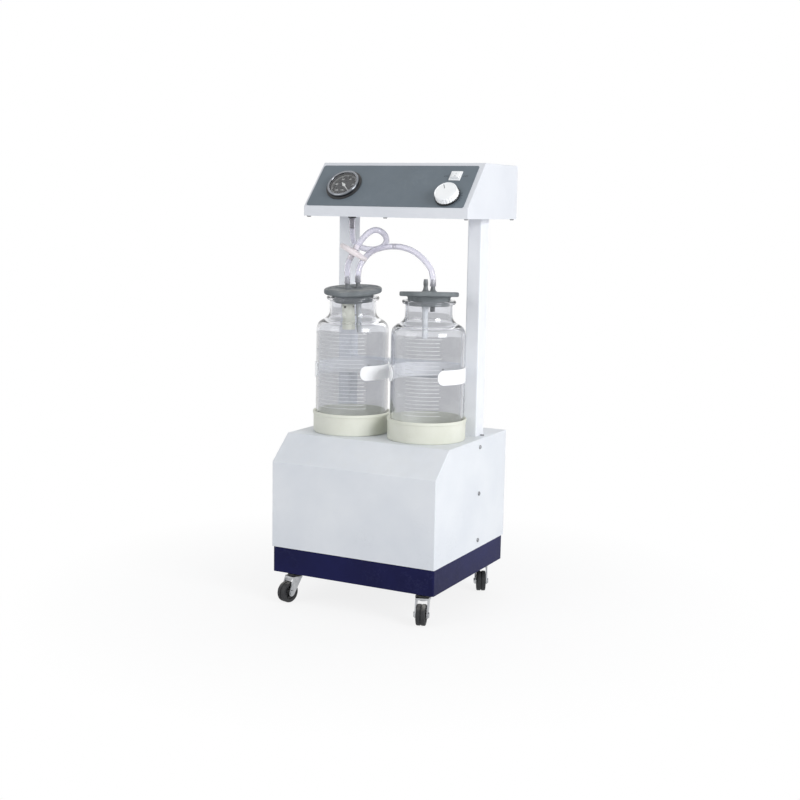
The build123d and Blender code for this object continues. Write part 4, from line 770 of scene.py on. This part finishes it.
def stopperOutline(low, high):
    reach, corner, groove = stopper["radius"], stopper["round"], stopper["groove"]
    # tapered plug, then the wide plate with a shallow groove in its top
    outline = [(0, -stopper["plugDepth"]), (stopper["plugLow"] - 0.002, -stopper["plugDepth"])]
    outline += [(stopper["plugLow"], -stopper["plugDepth"] + 0.002), (stopper["plugMouth"], 0)]
    outline += [(stopper["plugTop"], low - 0.001), (stopper["plugTop"] + 0.002, low)]
    outline += bend((reach - corner, low), (reach, low), (reach, low + corner), 4)
    outline += [(reach, low + 0.0040), (reach, high - 0.0035)]
    outline += bend((reach, high - corner), (reach, high), (reach - corner, high), 4)
    outline += [(reach - 0.006, high), (reach - 0.0068, high - groove), (reach - 0.0085, high - groove)]
    outline += [(reach - 0.0093, high), (0.020, high), (0.019, high - 0.0005), (0, high - 0.0005)]
    return outline


def nozzleOutline(start, end):
    # foot cone on the plate, a waist for the hand to pull at, and a tapered end
    radius, cone, waist = nozzle["radius"], nozzle["cone"], nozzle["waist"]
    shape = [(nozzle["bore"], nozzle["low"]), (radius, nozzle["low"]), (radius, start)]
    shape += [(cone, start), (cone, start + 0.0015)]
    shape += bend((cone - 0.0004, start + 0.002), (radius + 0.0004, start + 0.003),
                  (radius, start + nozzle["coneHeight"] + 0.001), 5)
    shape += [(radius - waist, start + 0.010), (radius - waist, start + 0.012)]
    shape += [(radius, start + 0.0130), (radius, end - 0.006)]
    shape += [(radius - 0.0008, end - 0.0005), (radius - 0.0012, end), (nozzle["bore"], end)]
    return shape


def addStoppers():
    low, high = stopper["lift"], stopper["lift"] + stopper["thick"]
    for side, lean in leans.items():
        outline = stopperOutline(low, high)
        place = seatPoint(side, 0, 0, 0)
        rubber = turnedPiece("rubber_" + side, outline, place, lean, steps=stopper["steps"])
        dress(rubber, "stopperRubber", side + "_stopper", "grey_rubber", "stopper_" + side)
    for side, lean in leans.items():
        outline = nozzleOutline(high - 0.0005, nozzle["top"])
        both = [turnedPiece("nozzle", outline, nozzleSpot(side, back, 0), lean, steps=nozzle["steps"])
                for back in (False, True)]
        tails = joinPieces("tails_" + side, both)
        dress(tails, "nozzlePlastic", side + "_stopper", "grey_plastic", "nozzles_" + side)


addStoppers()
print("stoppers are in the mouths")


# the sloping face that gauge, knob and switch stand on: u runs right, v up the slope, w out of it
facePlace = Vector((0, -0.0565, 0.7645))
slope = atan2(0.0851, 0.0773)
faceNormal = Vector((0, -sin(slope), cos(slope)))
faceUp = Vector((0, cos(slope), sin(slope)))
faceTurn = Matrix((Vector((1, 0, 0)), faceUp, faceNormal)).transposed().to_4x4()


def onFace(u, v, w=0.0):
    return facePlace + Vector((1, 0, 0)) * u + faceUp * v + faceNormal * w


def layOnFace(piece, u, v, w, twist=0.0):
    piece.matrix_world = Matrix.Translation(onFace(u, v, w)) @ faceTurn @ Matrix.Rotation(twist, 4, "Z")
    settle(piece)
    return piece


def turnedOnFace(name, outline, u, v, w, steps=96, soft=0.0):
    piece = turnedPiece(name, outline, (0, 0, 0), steps=steps, soft=soft)
    return layOnFace(piece, u, v, w)


def addBlock(name, place, size):
    # a plain block that the code after it shapes
    deselectAll()
    bpy.ops.mesh.primitive_cube_add(size=1)
    block = bpy.context.object
    block.name = name
    block.matrix_world = Matrix.Translation(place) @ Matrix.Diagonal((*size, 1))
    settle(block)
    return block


def addBar(name, length, width, thick, turn, radius):
    # a short printed stroke that points at the middle
    deselectAll()
    bpy.ops.mesh.primitive_cube_add(size=1)
    bar = bpy.context.object
    bar.name = name
    bar.matrix_world = (Matrix.Rotation(turn, 4, "Z") @ Matrix.Translation((radius, 0, thick / 2))
                        @ Matrix.Diagonal((length, width, thick, 1)))
    settle(bar)
    return bar


def addWords(words, size, x, y, thick=0.00006):
    deselectAll()
    bpy.ops.object.text_add()
    text = bpy.context.object
    text.data.body = words
    text.data.size = size
    text.data.align_x = "CENTER"
    text.data.align_y = "CENTER"
    text.data.resolution_u = 3
    bpy.ops.object.convert(target="MESH")
    flat = bpy.context.object
    giveBody(flat, thick)
    flat.location = (x, y, 0)
    settle(flat)
    return flat


# gauge: flange and can, chrome bezel, domed glass, printed dial and pointer
gauge = {"u": -0.1052, "v": 0.053, "flange": 0.0365, "flangeLow": 0.0012, "flangeTop": 0.0037,
         "seat": 0.0282, "can": 0.0296, "canInside": 0.0259, "canLow": -0.028, "stem": 0.0055,
         "bezel": 0.0325, "bezelRise": 0.0031, "lip": 0.0278, "glass": 0.0299, "glassLow": 0.0067,
         "dial": 0.0279, "dialTop": 0.0008, "stemHole": 0.0011}
dialPrint = {"first": -45, "sweep": 270, "steps": 50, "numberSize": 0.0052, "thick": 0.00008,
             "edge": 0.0020, "numberIn": 0.0105, "arcOut": 0.0016, "arcIn": 0.0019, "arcThick": 0.00006,
             "unitDrop": 0.42}


def addGauge():
    u, v, top, glass = gauge["u"], gauge["v"], gauge["flangeTop"], gauge["glassLow"]
    low, seat, reach = gauge["flangeLow"], gauge["seat"], gauge["flange"]
    flange = [(seat, low), (reach - 0.0004, low), (reach, low + 0.0006)]
    flange += [(reach, top - 0.0008), (reach - 0.0012, top), (gauge["glass"] + 0.0001, top)]
    flange += [(gauge["glass"] + 0.0001, top + 0.003), (seat, top + 0.003)]
    deep, sheet = gauge["canLow"], gauge["canLow"] + 0.0015
    can = [(seat, low), (gauge["can"], low), (gauge["can"], deep), (gauge["stem"], deep)]
    can += [(gauge["stem"], sheet), (gauge["canInside"], sheet), (gauge["canInside"], 0), (seat, 0)]
    case = [turnedOnFace("flange", flange, u, v, 0, soft=0.0002), turnedOnFace("can", can, u, v, 0, steps=64)]
    dress(joinPieces("gaugeHousing", case), "blackPlastic", "stand", "black_plastic", "gauge_case")
    bezel, lip, rise = gauge["bezel"], gauge["lip"], glass + gauge["bezelRise"]
    inside = gauge["glass"] + 0.00035
    ring = [(inside, top), (bezel - 0.0004, top), (bezel, top + 0.0006), (bezel, glass - 0.0002)]
    ring += bend((bezel, glass), (bezel, rise), (bezel - 0.0026, rise), 6)
    ring += bend((lip + 0.0010, rise), (lip, glass + 0.0030), (lip, glass + 0.0018), 4)
    ring += [(lip, glass + 0.0016), (inside, glass + 0.0016)]
    bezelRing = turnedOnFace("bezelRing", ring, u, v, 0, steps=128)
    dress(bezelRing, "polishedChrome", "stand", "chrome", "gauge_bezel")
    lens = [(0, glass + 0.0001), (gauge["glass"] - 0.0002, glass + 0.0001)]
    lens += [(gauge["glass"] - 0.0002, glass + 0.0012), (lip - 0.001, glass + 0.0015)]
    lens += [(lip * 0.6, glass + 0.0020), (0, glass + 0.0022)]
    dress(turnedOnFace("domedLens", lens, u, v, 0), "gaugeGlass", "stand", "clear_glass", "gauge_lens")
    dial, face = gauge["dial"], gauge["dialTop"]
    plate = [(gauge["stemHole"], 0), (dial, 0), (dial, face - 0.0002), (dial - 0.0003, face)]
    plate += [(gauge["stemHole"], face)]
    dress(turnedOnFace("dialPlate", plate, u, v, 0), "dialBlack", "stand", "black_plastic", "gauge_dial")


def addDialPrint():
    # strokes long at each tenth and middling at each fifth, numbers at each tenth, an arc round them
    dial, thick = gauge["dial"], dialPrint["thick"]
    strokes = []
    for index in range(dialPrint["steps"] + 1):
        turn = radians(dialPrint["first"] + dialPrint["sweep"] * index / dialPrint["steps"])
        length = 0.0045 if index % 10 == 0 else 0.0034 if index % 5 == 0 else 0.0022
        width = 0.0007 if index % 5 == 0 else 0.0004
        strokes.append(addBar("stroke", length, width, thick, turn, dial - dialPrint["edge"] - length / 2))
        if index % 10 == 0:
            reach = dial - dialPrint["numberIn"]
            words = str(index * 2)
            strokes.append(addWords(words, dialPrint["numberSize"], reach * cos(turn), reach * sin(turn)))
    inner, outer, high = dial - dialPrint["arcIn"], dial - dialPrint["arcOut"], dialPrint["arcThick"]
    arc = [(inner, 0), (outer, 0), (outer, high), (inner, high)]
    strokes.append(turnedPiece("scaleArc", arc, (0, 0, 0), steps=128))
    strokes.append(addWords("kPa", dialPrint["numberSize"] * 0.8, 0, -dial * dialPrint["unitDrop"]))
    marks = layOnFace(joinPieces("dialMarks", strokes), gauge["u"], gauge["v"], gauge["dialTop"])
    dress(marks, "printWhite", "stand", "white_plastic")


pointer = {"middle": 0.0065, "height": 0.0021, "length": 0.029, "width": 0.0026, "thick": 0.0005, "tip": 0.25,
           "crown": 0.0002}


def addPointer():
    needle = addBlock("needle", (pointer["middle"], 0, pointer["height"]),
                      (pointer["length"], pointer["width"], pointer["thick"]))
    markFaces(needle, lambda face: face.normal.x > 0.9)
    bpy.ops.transform.resize(value=(1, pointer["tip"], 1), orient_type="GLOBAL")
    bpy.ops.object.mode_set(mode="OBJECT")
    markFaces(needle, lambda face: face.normal.z > 0.9)
    bpy.ops.mesh.inset(thickness=pointer["crown"], depth=0)
    bpy.ops.transform.translate(value=(0, 0, pointer["crown"]))
    bpy.ops.object.mode_set(mode="OBJECT")
    hub = [(0, 0.0013), (0.0029, 0.0013), (0.0030, 0.0016), (0.0030, 0.0030), (0.0024, 0.0036)]
    hub += [(0.0012, 0.0038), (0, 0.0037)]
    cap = turnedPiece("cap", hub, (0, 0, 0), steps=40)
    whole = joinPieces("needle", [needle, cap])
    layOnFace(whole, gauge["u"], gauge["v"], 0, radians(dialPrint["first"]))
    dress(whole, "printWhite", "gauge_pointer", "white_plastic", "gauge_pointer")


addGauge()
addDialPrint()
addPointer()
print("gauge is together")


# fluted knob: white body, cap with a groove, a dark ring round its foot as painted shadow of the knob on the
# panel, and a pointer line
knob = {"u": 0.1255, "v": 0.0275, "radius": 0.0235, "base": 0.0027, "height": 0.0135, "flutes": 24,
        "flute": 0.0011, "flutesFrom": 0.0030, "step": 0.0008, "taper": 0.0010, "crown": 0.0011,
        "cap": 0.0219, "markTurn": 118, "markLength": 0.011, "markWidth": 0.0012, "markReach": 0.0125}


def drawInside(share, sink):
    # a new ring inside the picked face, smaller by the share and moved by sink
    bpy.ops.mesh.extrude_region_move(TRANSFORM_OT_translate={"value": (0, 0, sink)})
    bpy.ops.transform.resize(value=(share, share, 1), orient_type="GLOBAL")


def drawInRings(body, wanted, rings):
    markFaces(body, wanted)
    for share, sink in rings:
        drawInside(share, sink)
    bpy.ops.object.mode_set(mode="OBJECT")


def addKnob():
    deselectAll()
    middle = knob["base"] + knob["height"] / 2
    bpy.ops.mesh.primitive_cylinder_add(vertices=knob["flutes"] * 8, radius=knob["radius"],
                                        depth=knob["height"], location=(0, 0, middle))
    body = bpy.context.object
    body.name = "flutedKnob"
    settle(body)
    pickOnly(body)
    bpy.ops.object.mode_set(mode="EDIT")
    for height in (0.0028, 0.0038, knob["height"] - 0.0022, knob["height"] - 0.0010):
        bpy.ops.mesh.select_all(action="SELECT")
        bpy.ops.mesh.bisect(plane_co=(0, 0, knob["base"] + height), plane_no=(0, 0, 1))
    bpy.ops.object.mode_set(mode="OBJECT")
    # flutes above the foot: each eighth corner and its neighbours draw in
    for vertex in body.data.vertices:
        radius = vertex.co.xy.length
        if radius < knob["radius"] * 0.9:
            continue
        height = vertex.co.z - knob["base"]
        turn = atan2(vertex.co.y, vertex.co.x)
        above = height > knob["flutesFrom"]
        atTop = height > knob["height"] - 0.0004
        wave = max(0.0, cos(turn * knob["flutes"])) ** 1.5
        draw = knob["flute"] * wave if above else 0
        radius -= draw * (0.5 if atTop else 1) + knob["taper"] * max(0.0, height - 0.0028) / knob["height"]
        radius -= (knob["crown"] if atTop else 0) + (knob["step"] if above else 0)
        vertex.co.x, vertex.co.y = radius * cos(turn), radius * sin(turn)
    drawInRings(body, lambda face: face.normal.z > 0.9 and face.area > 0.0005,
                ((0.90, 0.0), (0.80, 0.0), (0.97, -0.0005), (0.6, 0.0002)))
    drawInRings(body, lambda face: face.normal.z < -0.9 and face.area > 0.0005,
                ((0.92, 0.0), (0.6, 0.0), (0.98, 0.0052)))
    smoothShade(body, 50)
    layOnFace(body, knob["u"], knob["v"], 0)
    dress(body, "whitePlastic", "regulator_knob", "white_plastic", "regulator_knob")


def addKnobTrim():
    low, reach = knob["base"] + 0.0001, knob["radius"]
    # a dark ring round the knob's foot: painted shadow that the knob casts on the panel
    shadowRingShape = [(reach - 0.0012, low), (reach + 0.0009, low), (reach + 0.0011, low + 0.0003)]
    shadowRingShape += [(reach + 0.0011, low + 0.0026), (reach + 0.0006, low + 0.0032), (reach - 0.0012, low + 0.0034)]
    ring = turnedOnFace("knobShadowRing", shadowRingShape, knob["u"], knob["v"], 0)
    dress(ring, "blackPlastic", "regulator_knob", "black_plastic")
    top, reach = knob["base"] + knob["height"], knob["cap"]
    cap = [(0, top - 0.0009), (reach - 0.0004, top - 0.0009), (reach, top - 0.0005), (reach, top + 0.0003)]
    cap += [(reach - 0.0006, top + 0.0009), (reach - 0.0020, top + 0.0009), (reach - 0.0024, top + 0.0004)]
    cap += [(reach - 0.0032, top + 0.0004), (reach - 0.0037, top + 0.0008), (0, top + 0.0006)]
    disc = turnedOnFace("knobCap", cap, knob["u"], knob["v"], 0)
    dress(disc, "whitePlastic", "regulator_knob", "white_plastic")
    line = addBar("knobLine", knob["markLength"], knob["markWidth"], 0.0004, radians(knob["markTurn"]),
                  knob["markReach"])
    softenEdges(line, 0.0001, 2)
    layOnFace(line, knob["u"], knob["v"], top + 0.0006)
    dress(line, "nozzlePlastic", "regulator_knob", "grey_plastic")


addKnob()
addKnobTrim()
print("knob is fluted")


# rocker switch: bevelled frame, tilted rocker with plain marks
switch = {"u": 0.1247, "v": 0.0793, "rim": 0.023, "body": 0.019, "hole": 0.017, "depth": 0.020,
          "panel": 0.0012, "top": 0.0032, "tilt": 9, "pivot": 0.0015, "soft": 0.0005}
rocker = {"width": 0.0164, "half": 0.0074, "thick": 0.0077, "rise": 0.00035, "hollow": 0.0014,
          "signAt": 0.0045, "signHigh": 0.0035}


def addSwitchFrame():
    thick = switch["top"] - switch["panel"]
    place = (0, 0, switch["panel"] + thick / 2)
    bezel = addBlock("switchBezel", place, (switch["rim"], switch["rim"], thick))
    # the housing behind the panel, then the pocket for the rocker
    markFaces(bezel, lambda face: face.normal.z < -0.9)
    bpy.ops.mesh.inset(thickness=(switch["rim"] - switch["body"]) / 2, depth=0)
    low = -switch["panel"] - switch["depth"]
    bpy.ops.mesh.extrude_region_move(TRANSFORM_OT_translate={"value": (0, 0, low)})
    bpy.ops.object.mode_set(mode="OBJECT")
    markFaces(bezel, lambda face: face.normal.z > 0.9 and face.area > 0.0002)
    bpy.ops.mesh.inset(thickness=(switch["rim"] - switch["hole"]) / 2, depth=0)
    low = -switch["top"] - switch["depth"] / 2
    bpy.ops.mesh.extrude_region_move(TRANSFORM_OT_translate={"value": (0, 0, low)})
    bpy.ops.object.mode_set(mode="OBJECT")
    softenEdges(bezel, switch["soft"], 3)
    smoothShade(bezel)
    layOnFace(bezel, switch["u"], switch["v"], 0)
    dress(bezel, "whitePlastic", "stand", "white_plastic", "switch_frame")


def addRocker():
    size = (rocker["width"], 2 * rocker["half"], rocker["thick"])
    key = addBlock("rockerKey", (0, 0, rocker["rise"]), size)
    pickOnly(key)
    bpy.ops.object.mode_set(mode="EDIT")
    for spot in (-0.8, -0.4, 0, 0.4, 0.8):
        bpy.ops.mesh.select_all(action="SELECT")
        bpy.ops.mesh.bisect(plane_co=(0, spot * rocker["half"], 0), plane_no=(0, 1, 0))
    bpy.ops.object.mode_set(mode="OBJECT")
    for vertex in key.data.vertices:
        if vertex.co.z > 0:
            vertex.co.z -= rocker["hollow"] * (1 - (vertex.co.y / rocker["half"]) ** 2)
    softenEdges(key, switch["soft"], 3, 50)
    smoothShade(key, 40)
    onMark = addBar("onMark", 0.0036, 0.0005, 0.0001, pi / 2, 0.0)
    ring = [(0.0012, 0), (0.0017, 0), (0.0017, 0.0001), (0.0012, 0.0001)]
    offMark = turnedPiece("offMark", ring, (0, 0, 0), steps=32)
    onMark.location = (0, rocker["signAt"], rocker["signHigh"])
    offMark.location = (0, -rocker["signAt"], rocker["signHigh"])
    settle(onMark)
    settle(offMark)
    signs = joinPieces("rockerSigns", [onMark, offMark])
    place = Matrix.Translation(onFace(switch["u"], switch["v"], switch["pivot"]))
    for piece in (key, signs):
        piece.matrix_world = place @ faceTurn @ Matrix.Rotation(radians(-switch["tilt"]), 4, "X")
        settle(piece)
    dress(key, "whitePlastic", "switch_rocker", "white_plastic", "switch_rocker")
    dress(signs, "blackPlastic", "switch_rocker", "black_plastic")


addSwitchFrame()
addRocker()
print("switch is in")


# panel print: ticks about the knob that grow with the setting, and plain words beside the switch
panelPrint = {"top": 0.0012, "thick": 0.00008, "ticks": 6, "arcFirst": -45, "arcLast": 20,
              "arcReach": 0.0045, "tickLength": 0.0014, "tickGrows": 0.0004, "tickWidth": 0.0009,
              "wordSize": 0.0058, "wordsApart": 0.020}


def addPanelPrint():
    strokes = []
    sweep = panelPrint["arcLast"] - panelPrint["arcFirst"]
    for index in range(panelPrint["ticks"]):
        turn = radians(panelPrint["arcFirst"] + sweep * index / (panelPrint["ticks"] - 1))
        length = panelPrint["tickLength"] + panelPrint["tickGrows"] * index
        tick = addBar("tick", length, panelPrint["tickWidth"], panelPrint["thick"], turn,
                      knob["radius"] + panelPrint["arcReach"])
        tick.location = (knob["u"], knob["v"], 0)
        settle(tick)
        strokes.append(tick)
    for words, way in (("ON", -1), ("OFF", 1)):
        across = switch["u"] + way * panelPrint["wordsApart"]
        strokes.append(addWords(words, panelPrint["wordSize"], across, switch["v"]))
    marks = layOnFace(joinPieces("panelMarks", strokes), 0, 0, panelPrint["top"])
    dress(marks, "printDark", "stand", "black_plastic")


addPanelPrint()
print("panel is printed")


# casters: tyres with a groove, hubs with webs, pressed cups over each fork
caster = {"trail": 0.019, "radius": 0.020, "width": 0.018, "axle": 0.003, "groove": 0.0016,
          "tread": 0.0140, "boss": 0.0060, "dish": 0.0125, "webs": 6, "webLength": 0.0070,
          "webWidth": 0.0014, "webHeight": 0.0022, "webReach": 0.0097, "raceHole": 0.0055, "race": 0.0140,
          "raceLow": 0.0503, "raceTop": 0.0600}
casterSpots = {"front_left": (-0.14, -0.137, -15), "front_right": (0.14, -0.137, 18),
               "rear_left": (-0.14, 0.127, 35), "rear_right": (0.14, 0.127, 27)}


def bothSides(shape):
    # the second half of a wheel's outline is the first one turned over
    return shape + [(radius, -height) for radius, height in reversed(shape)]


def tyreOutline():
    half, reach = caster["width"] / 2, caster["radius"]
    shape = [(caster["tread"], -half + 0.0005), (0.0172, -half)]
    shape += bend((0.0180, -half + 0.0002), (reach, -half + 0.0005), (reach, -half + 0.0028), 5)
    shape += [(reach, -0.0016), (reach - 0.0007, -0.0009), (reach - caster["groove"], -0.0007)]
    return bothSides(shape)


def hubOutline():
    half, boss, dish = caster["width"] / 2, caster["boss"], caster["dish"]
    shape = [(caster["axle"] + 0.0001, -half), (boss - 0.0004, -half), (boss, -half + 0.0004)]
    shape += [(boss, -half + 0.0022), (boss + 0.0008, -half + 0.0030), (dish, -half + 0.0026)]
    shape += [(dish + 0.0007, -half + 0.0009), (caster["tread"] + 0.0001, -half + 0.0006)]
    return bothSides(shape)


def addWebs(name):
    rise = caster["width"] / 2 - 0.0020
    webs = []
    for index in range(caster["webs"]):
        for side in (-1, 1):
            web = addBlock("web", (caster["webReach"], 0, side * rise),
                           (caster["webLength"], caster["webWidth"], caster["webHeight"]))
            web.matrix_world = Matrix.Rotation(index * 2 * pi / caster["webs"], 4, "Z")
            settle(web)
            webs.append(web)
    whole = joinPieces("webs_" + name, webs)
    softenEdges(whole, 0.0002, 2)
    return whole


def addWheels():
    for name, (x, y, turn) in casterSpots.items():
        node = "caster_wheel_" + name
        trail = Vector((sin(radians(turn)), -cos(radians(turn)), 0))
        across = trail.cross(up)
        place = Vector((x, y, caster["radius"])) + trail * caster["trail"]
        rubber = turnedPiece("tyre_" + name, tyreOutline(), place, across, steps=72)
        dress(rubber, "wheelRubber", node, "wheel_black", node)
        core = turnedPiece("hub_" + name, hubOutline(), place, across, steps=48)
        dress(core, "blackPlastic", node, "wheel_black")
        webs = addWebs(name)
        turnTo(webs, place, across)
        dress(webs, "blackPlastic", node, "wheel_black")


def addSwivels():
    # pressed race cups between each fork and the tray, over the dust ring
    hole, reach, low, top = caster["raceHole"], caster["race"], caster["raceLow"], caster["raceTop"]
    race = [(hole, low), (reach - 0.0008, low), (reach, low + 0.0004), (reach, 0.0530)]
    race += [(reach - 0.0008, 0.0545), (0.0118, 0.0550), (0.0118, 0.0562), (0.0128, 0.0568)]
    race += [(0.0138, 0.0572), (reach, top - 0.0020)]
    race += [(reach, top), (hole, top)]
    for name, (x, y, turn) in casterSpots.items():
        cupRing = turnedPiece("race_" + name, race, (x, y, 0), steps=56)
        replaced = ["caster_rings"] if name == "front_left" else []
        dress(cupRing, "blackPlastic", "stand", "black_rubber", *replaced)


addWheels()
addSwivels()
print("casters roll")


# disc filter and the ribbed port
filterCentre = Vector((-0.0742, -0.0364, 0.677))
filterAxis = Vector((-0.44, -0.23, -0.868)).normalized()
filterSize = {"radius": 0.030, "half": 0.0045, "hub": 0.0062, "barb": 0.016, "tail": 0.0045, "bore": 0.0025,
              "collar": 0.0070, "ribs": 12, "ribReach": 0.0135, "rib": (0.0110, 0.0010, 0.0008)}


def filterOutline():
    radius, half, hub = filterSize["radius"], filterSize["half"], filterSize["hub"]
    tail, barb, collar = filterSize["tail"], filterSize["barb"], filterSize["collar"]
    # one side: tail, collar, a ring groove in the shell, and the welded flange at the rim
    shape = [(filterSize["bore"], -barb), (tail - 0.0007, -barb), (tail, -barb + 0.002), (tail, -hub)]
    shape += [(collar - 0.0004, -hub), (collar, -hub + 0.0004), (collar, -half - 0.0002)]
    shape += [(0.0090, -half), (0.0200, -half), (0.0208, -half + 0.0008), (0.0222, -half + 0.0008)]
    shape += [(0.0230, -half), (radius - 0.0030, -half), (radius - 0.0010, -half + 0.0012)]
    flange = [(radius - 0.0010, -0.0012), (radius, -0.0008), (radius, 0.0008), (radius - 0.0010, 0.0012)]
    return shape + flange + [(reach, -height) for reach, height in reversed(shape)]


def addFilter():
    disc = turnedPiece("filterDisc", filterOutline(), filterCentre, filterAxis, steps=96)
    rise = filterSize["half"] + 0.0001
    ribs = []
    for index in range(filterSize["ribs"]):
        for side in (-1, 1):
            rib = addBlock("rib", (filterSize["ribReach"], 0, side * rise), filterSize["rib"])
            rib.matrix_world = Matrix.Rotation(index * 2 * pi / filterSize["ribs"], 4, "Z")
            settle(rib)
            ribs.append(rib)
    fans = joinPieces("filterRibs", ribs)
    softenEdges(fans, 0.00015, 2)
    turnTo(fans, filterCentre, filterAxis)
    dress(disc, "filterPlastic", "left_stopper", "white_plastic", "line_filter")
    dress(fans, "filterPlastic", "left_stopper", "white_plastic")


portSize = {"place": (-0.099, 0, 0), "top": 0.7454, "flange": 0.003, "flangeRadius": 0.0080, "length": 0.024,
            "root": 0.0038, "crest": 0.0045, "bore": 0.0022, "rib": 0.004, "count": 5}


def addPort():
    top, reach, root, crest = portSize["top"], portSize["flangeRadius"], portSize["root"], portSize["crest"]
    low, end = top - portSize["flange"], top - portSize["length"]
    shape = [(portSize["bore"], top), (reach - 0.0004, top), (reach, top - 0.0004)]
    shape += [(reach, low + 0.0005), (reach - 0.0005, low)]
    for index in range(portSize["count"]):
        height = low - index * portSize["rib"]
        shape += [(root, height), (root, height - 0.0010), (crest, height - 0.0012)]
        shape += [(crest - 0.0001, height - 0.0018)]
    shape += [(root - 0.0002, end), (portSize["bore"], end)]
    tail = turnedPiece("portTail", shape, portSize["place"], steps=40)
    dress(tail, "blackPlastic", "stand", "black_plastic")


addFilter()
addPort()
print("filter and port are in")


# hoses: the same routes as the solids follow, in metres
hose = {"radius": 0.0059, "wall": 0.00125, "roundness": 5, "smoothness": 10}
hoseRoutes = {
    "portHose": [
        (-0.099, 0, 0.7421), (-0.099, 0, 0.712), (-0.101, 0.010, 0.694), (-0.083, 0.024, 0.681),
        (-0.056, 0.028, 0.682), (-0.032, 0.020, 0.693), (-0.024, 0.002, 0.712), (-0.039, -0.016, 0.724),
        (-0.0592, -0.0286, 0.7065), (-0.0713, -0.0349, 0.6826),
    ],
    "filterHose": [
        (-0.0771, -0.0379, 0.6714), (-0.0839, -0.0415, 0.6579), (-0.0885, -0.0358, 0.6365),
        (-0.0886, -0.0339, 0.6166),
    ],
    "jarHose": [
        (-0.0766, -0.0132, 0.6186), (-0.0765, -0.0155, 0.6425), (-0.072, 0.002, 0.664),
        (-0.056, 0.004, 0.680), (-0.024, 0.002, 0.689), (0.012, 0, 0.690), (0.044, -0.002, 0.680),
        (0.068, -0.004, 0.661), (0.0828, -0.0060, 0.6429), (0.0836, -0.0076, 0.6170),
    ],
}


def addLine(name, points):
    curve = bpy.data.curves.new(name, "CURVE")
    curve.dimensions = "3D"
    curve.resolution_u = hose["smoothness"]
    spline = curve.splines.new("NURBS")
    spline.points.add(len(points) - 1)
    for place, point in zip(spline.points, points):
        place.co = (*point, 1)
    spline.order_u = 3
    spline.use_endpoint_u = True
    line = bpy.data.objects.new(name, curve)
    bpy.context.scene.collection.objects.link(line)
    return line


def readLine(line):
    mesh = bpy.data.meshes.new_from_object(line)
    points = [vertex.co.copy() for vertex in mesh.vertices]
    bpy.data.meshes.remove(mesh)
    return points


def addTube(name, route):
    # the line is read while it is thin, then it gets its thickness
    line = addLine(name, hoseRoutes[route])
    centres = readLine(line)
    line.data.bevel_depth = hose["radius"]
    line.data.bevel_resolution = hose["roundness"]
    pickOnly(line)
    bpy.ops.object.convert(target="MESH")
    tube = bpy.context.object
    bpy.ops.object.shade_smooth()
    return tube, centres


def cutTube(tube, place, way, cutNear):
    pickOnly(tube)
    bpy.ops.object.mode_set(mode="EDIT")
    bpy.ops.mesh.select_all(action="SELECT")
    bpy.ops.mesh.bisect(plane_co=place, plane_no=way, clear_inner=cutNear, clear_outer=not cutNear)
    bpy.ops.object.mode_set(mode="OBJECT")


def finishTube(tube):
    shell = tube.modifiers.new("wall", "SOLIDIFY")
    shell.thickness = hose["wall"]
    shell.offset = -1
    shell.use_even_offset = True
    pickOnly(tube)
    bpy.ops.object.modifier_apply(modifier="wall")
    tube.data.materials.clear()
    tube.data.materials.append(surfaces["clearHose"])


def declareHose(node):
    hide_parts(node)


def addPortHose():
    tube, centres = addTube("portHose", "portHose")
    finishTube(tube)
    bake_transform(tube)
    declareHose("hose_port_to_filter")


def addFilterHose():
    # too short to be a cord, so it simply rides with the filter and the stopper
    tube, centres = addTube("filterHose", "filterHose")
    finishTube(tube)
    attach(tube, "left_stopper")
    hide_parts("hose_filter_to_jar")


def addJarHose():
    # two halves cut from one tube, meeting at the top
    whole, centres = addTube("jarHoseLeft", "jarHose")
    half = len(centres) // 2
    middle = centres[half]
    way = (centres[half + 1] - middle).normalized()
    pickOnly(whole)
    bpy.ops.object.duplicate()
    second = bpy.context.object
    second.name = "jarHoseRight"
    cutTube(whole, middle, way, False)
    finishTube(whole)
    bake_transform(whole)
    declareHose("hose_jar_to_jar")
    cutTube(second, middle, way, True)
    finishTube(second)
    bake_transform(second)
    declareHose("hose_jar_to_jar")


addPortHose()
addFilterHose()
addJarHose()
print("hoses are laid")
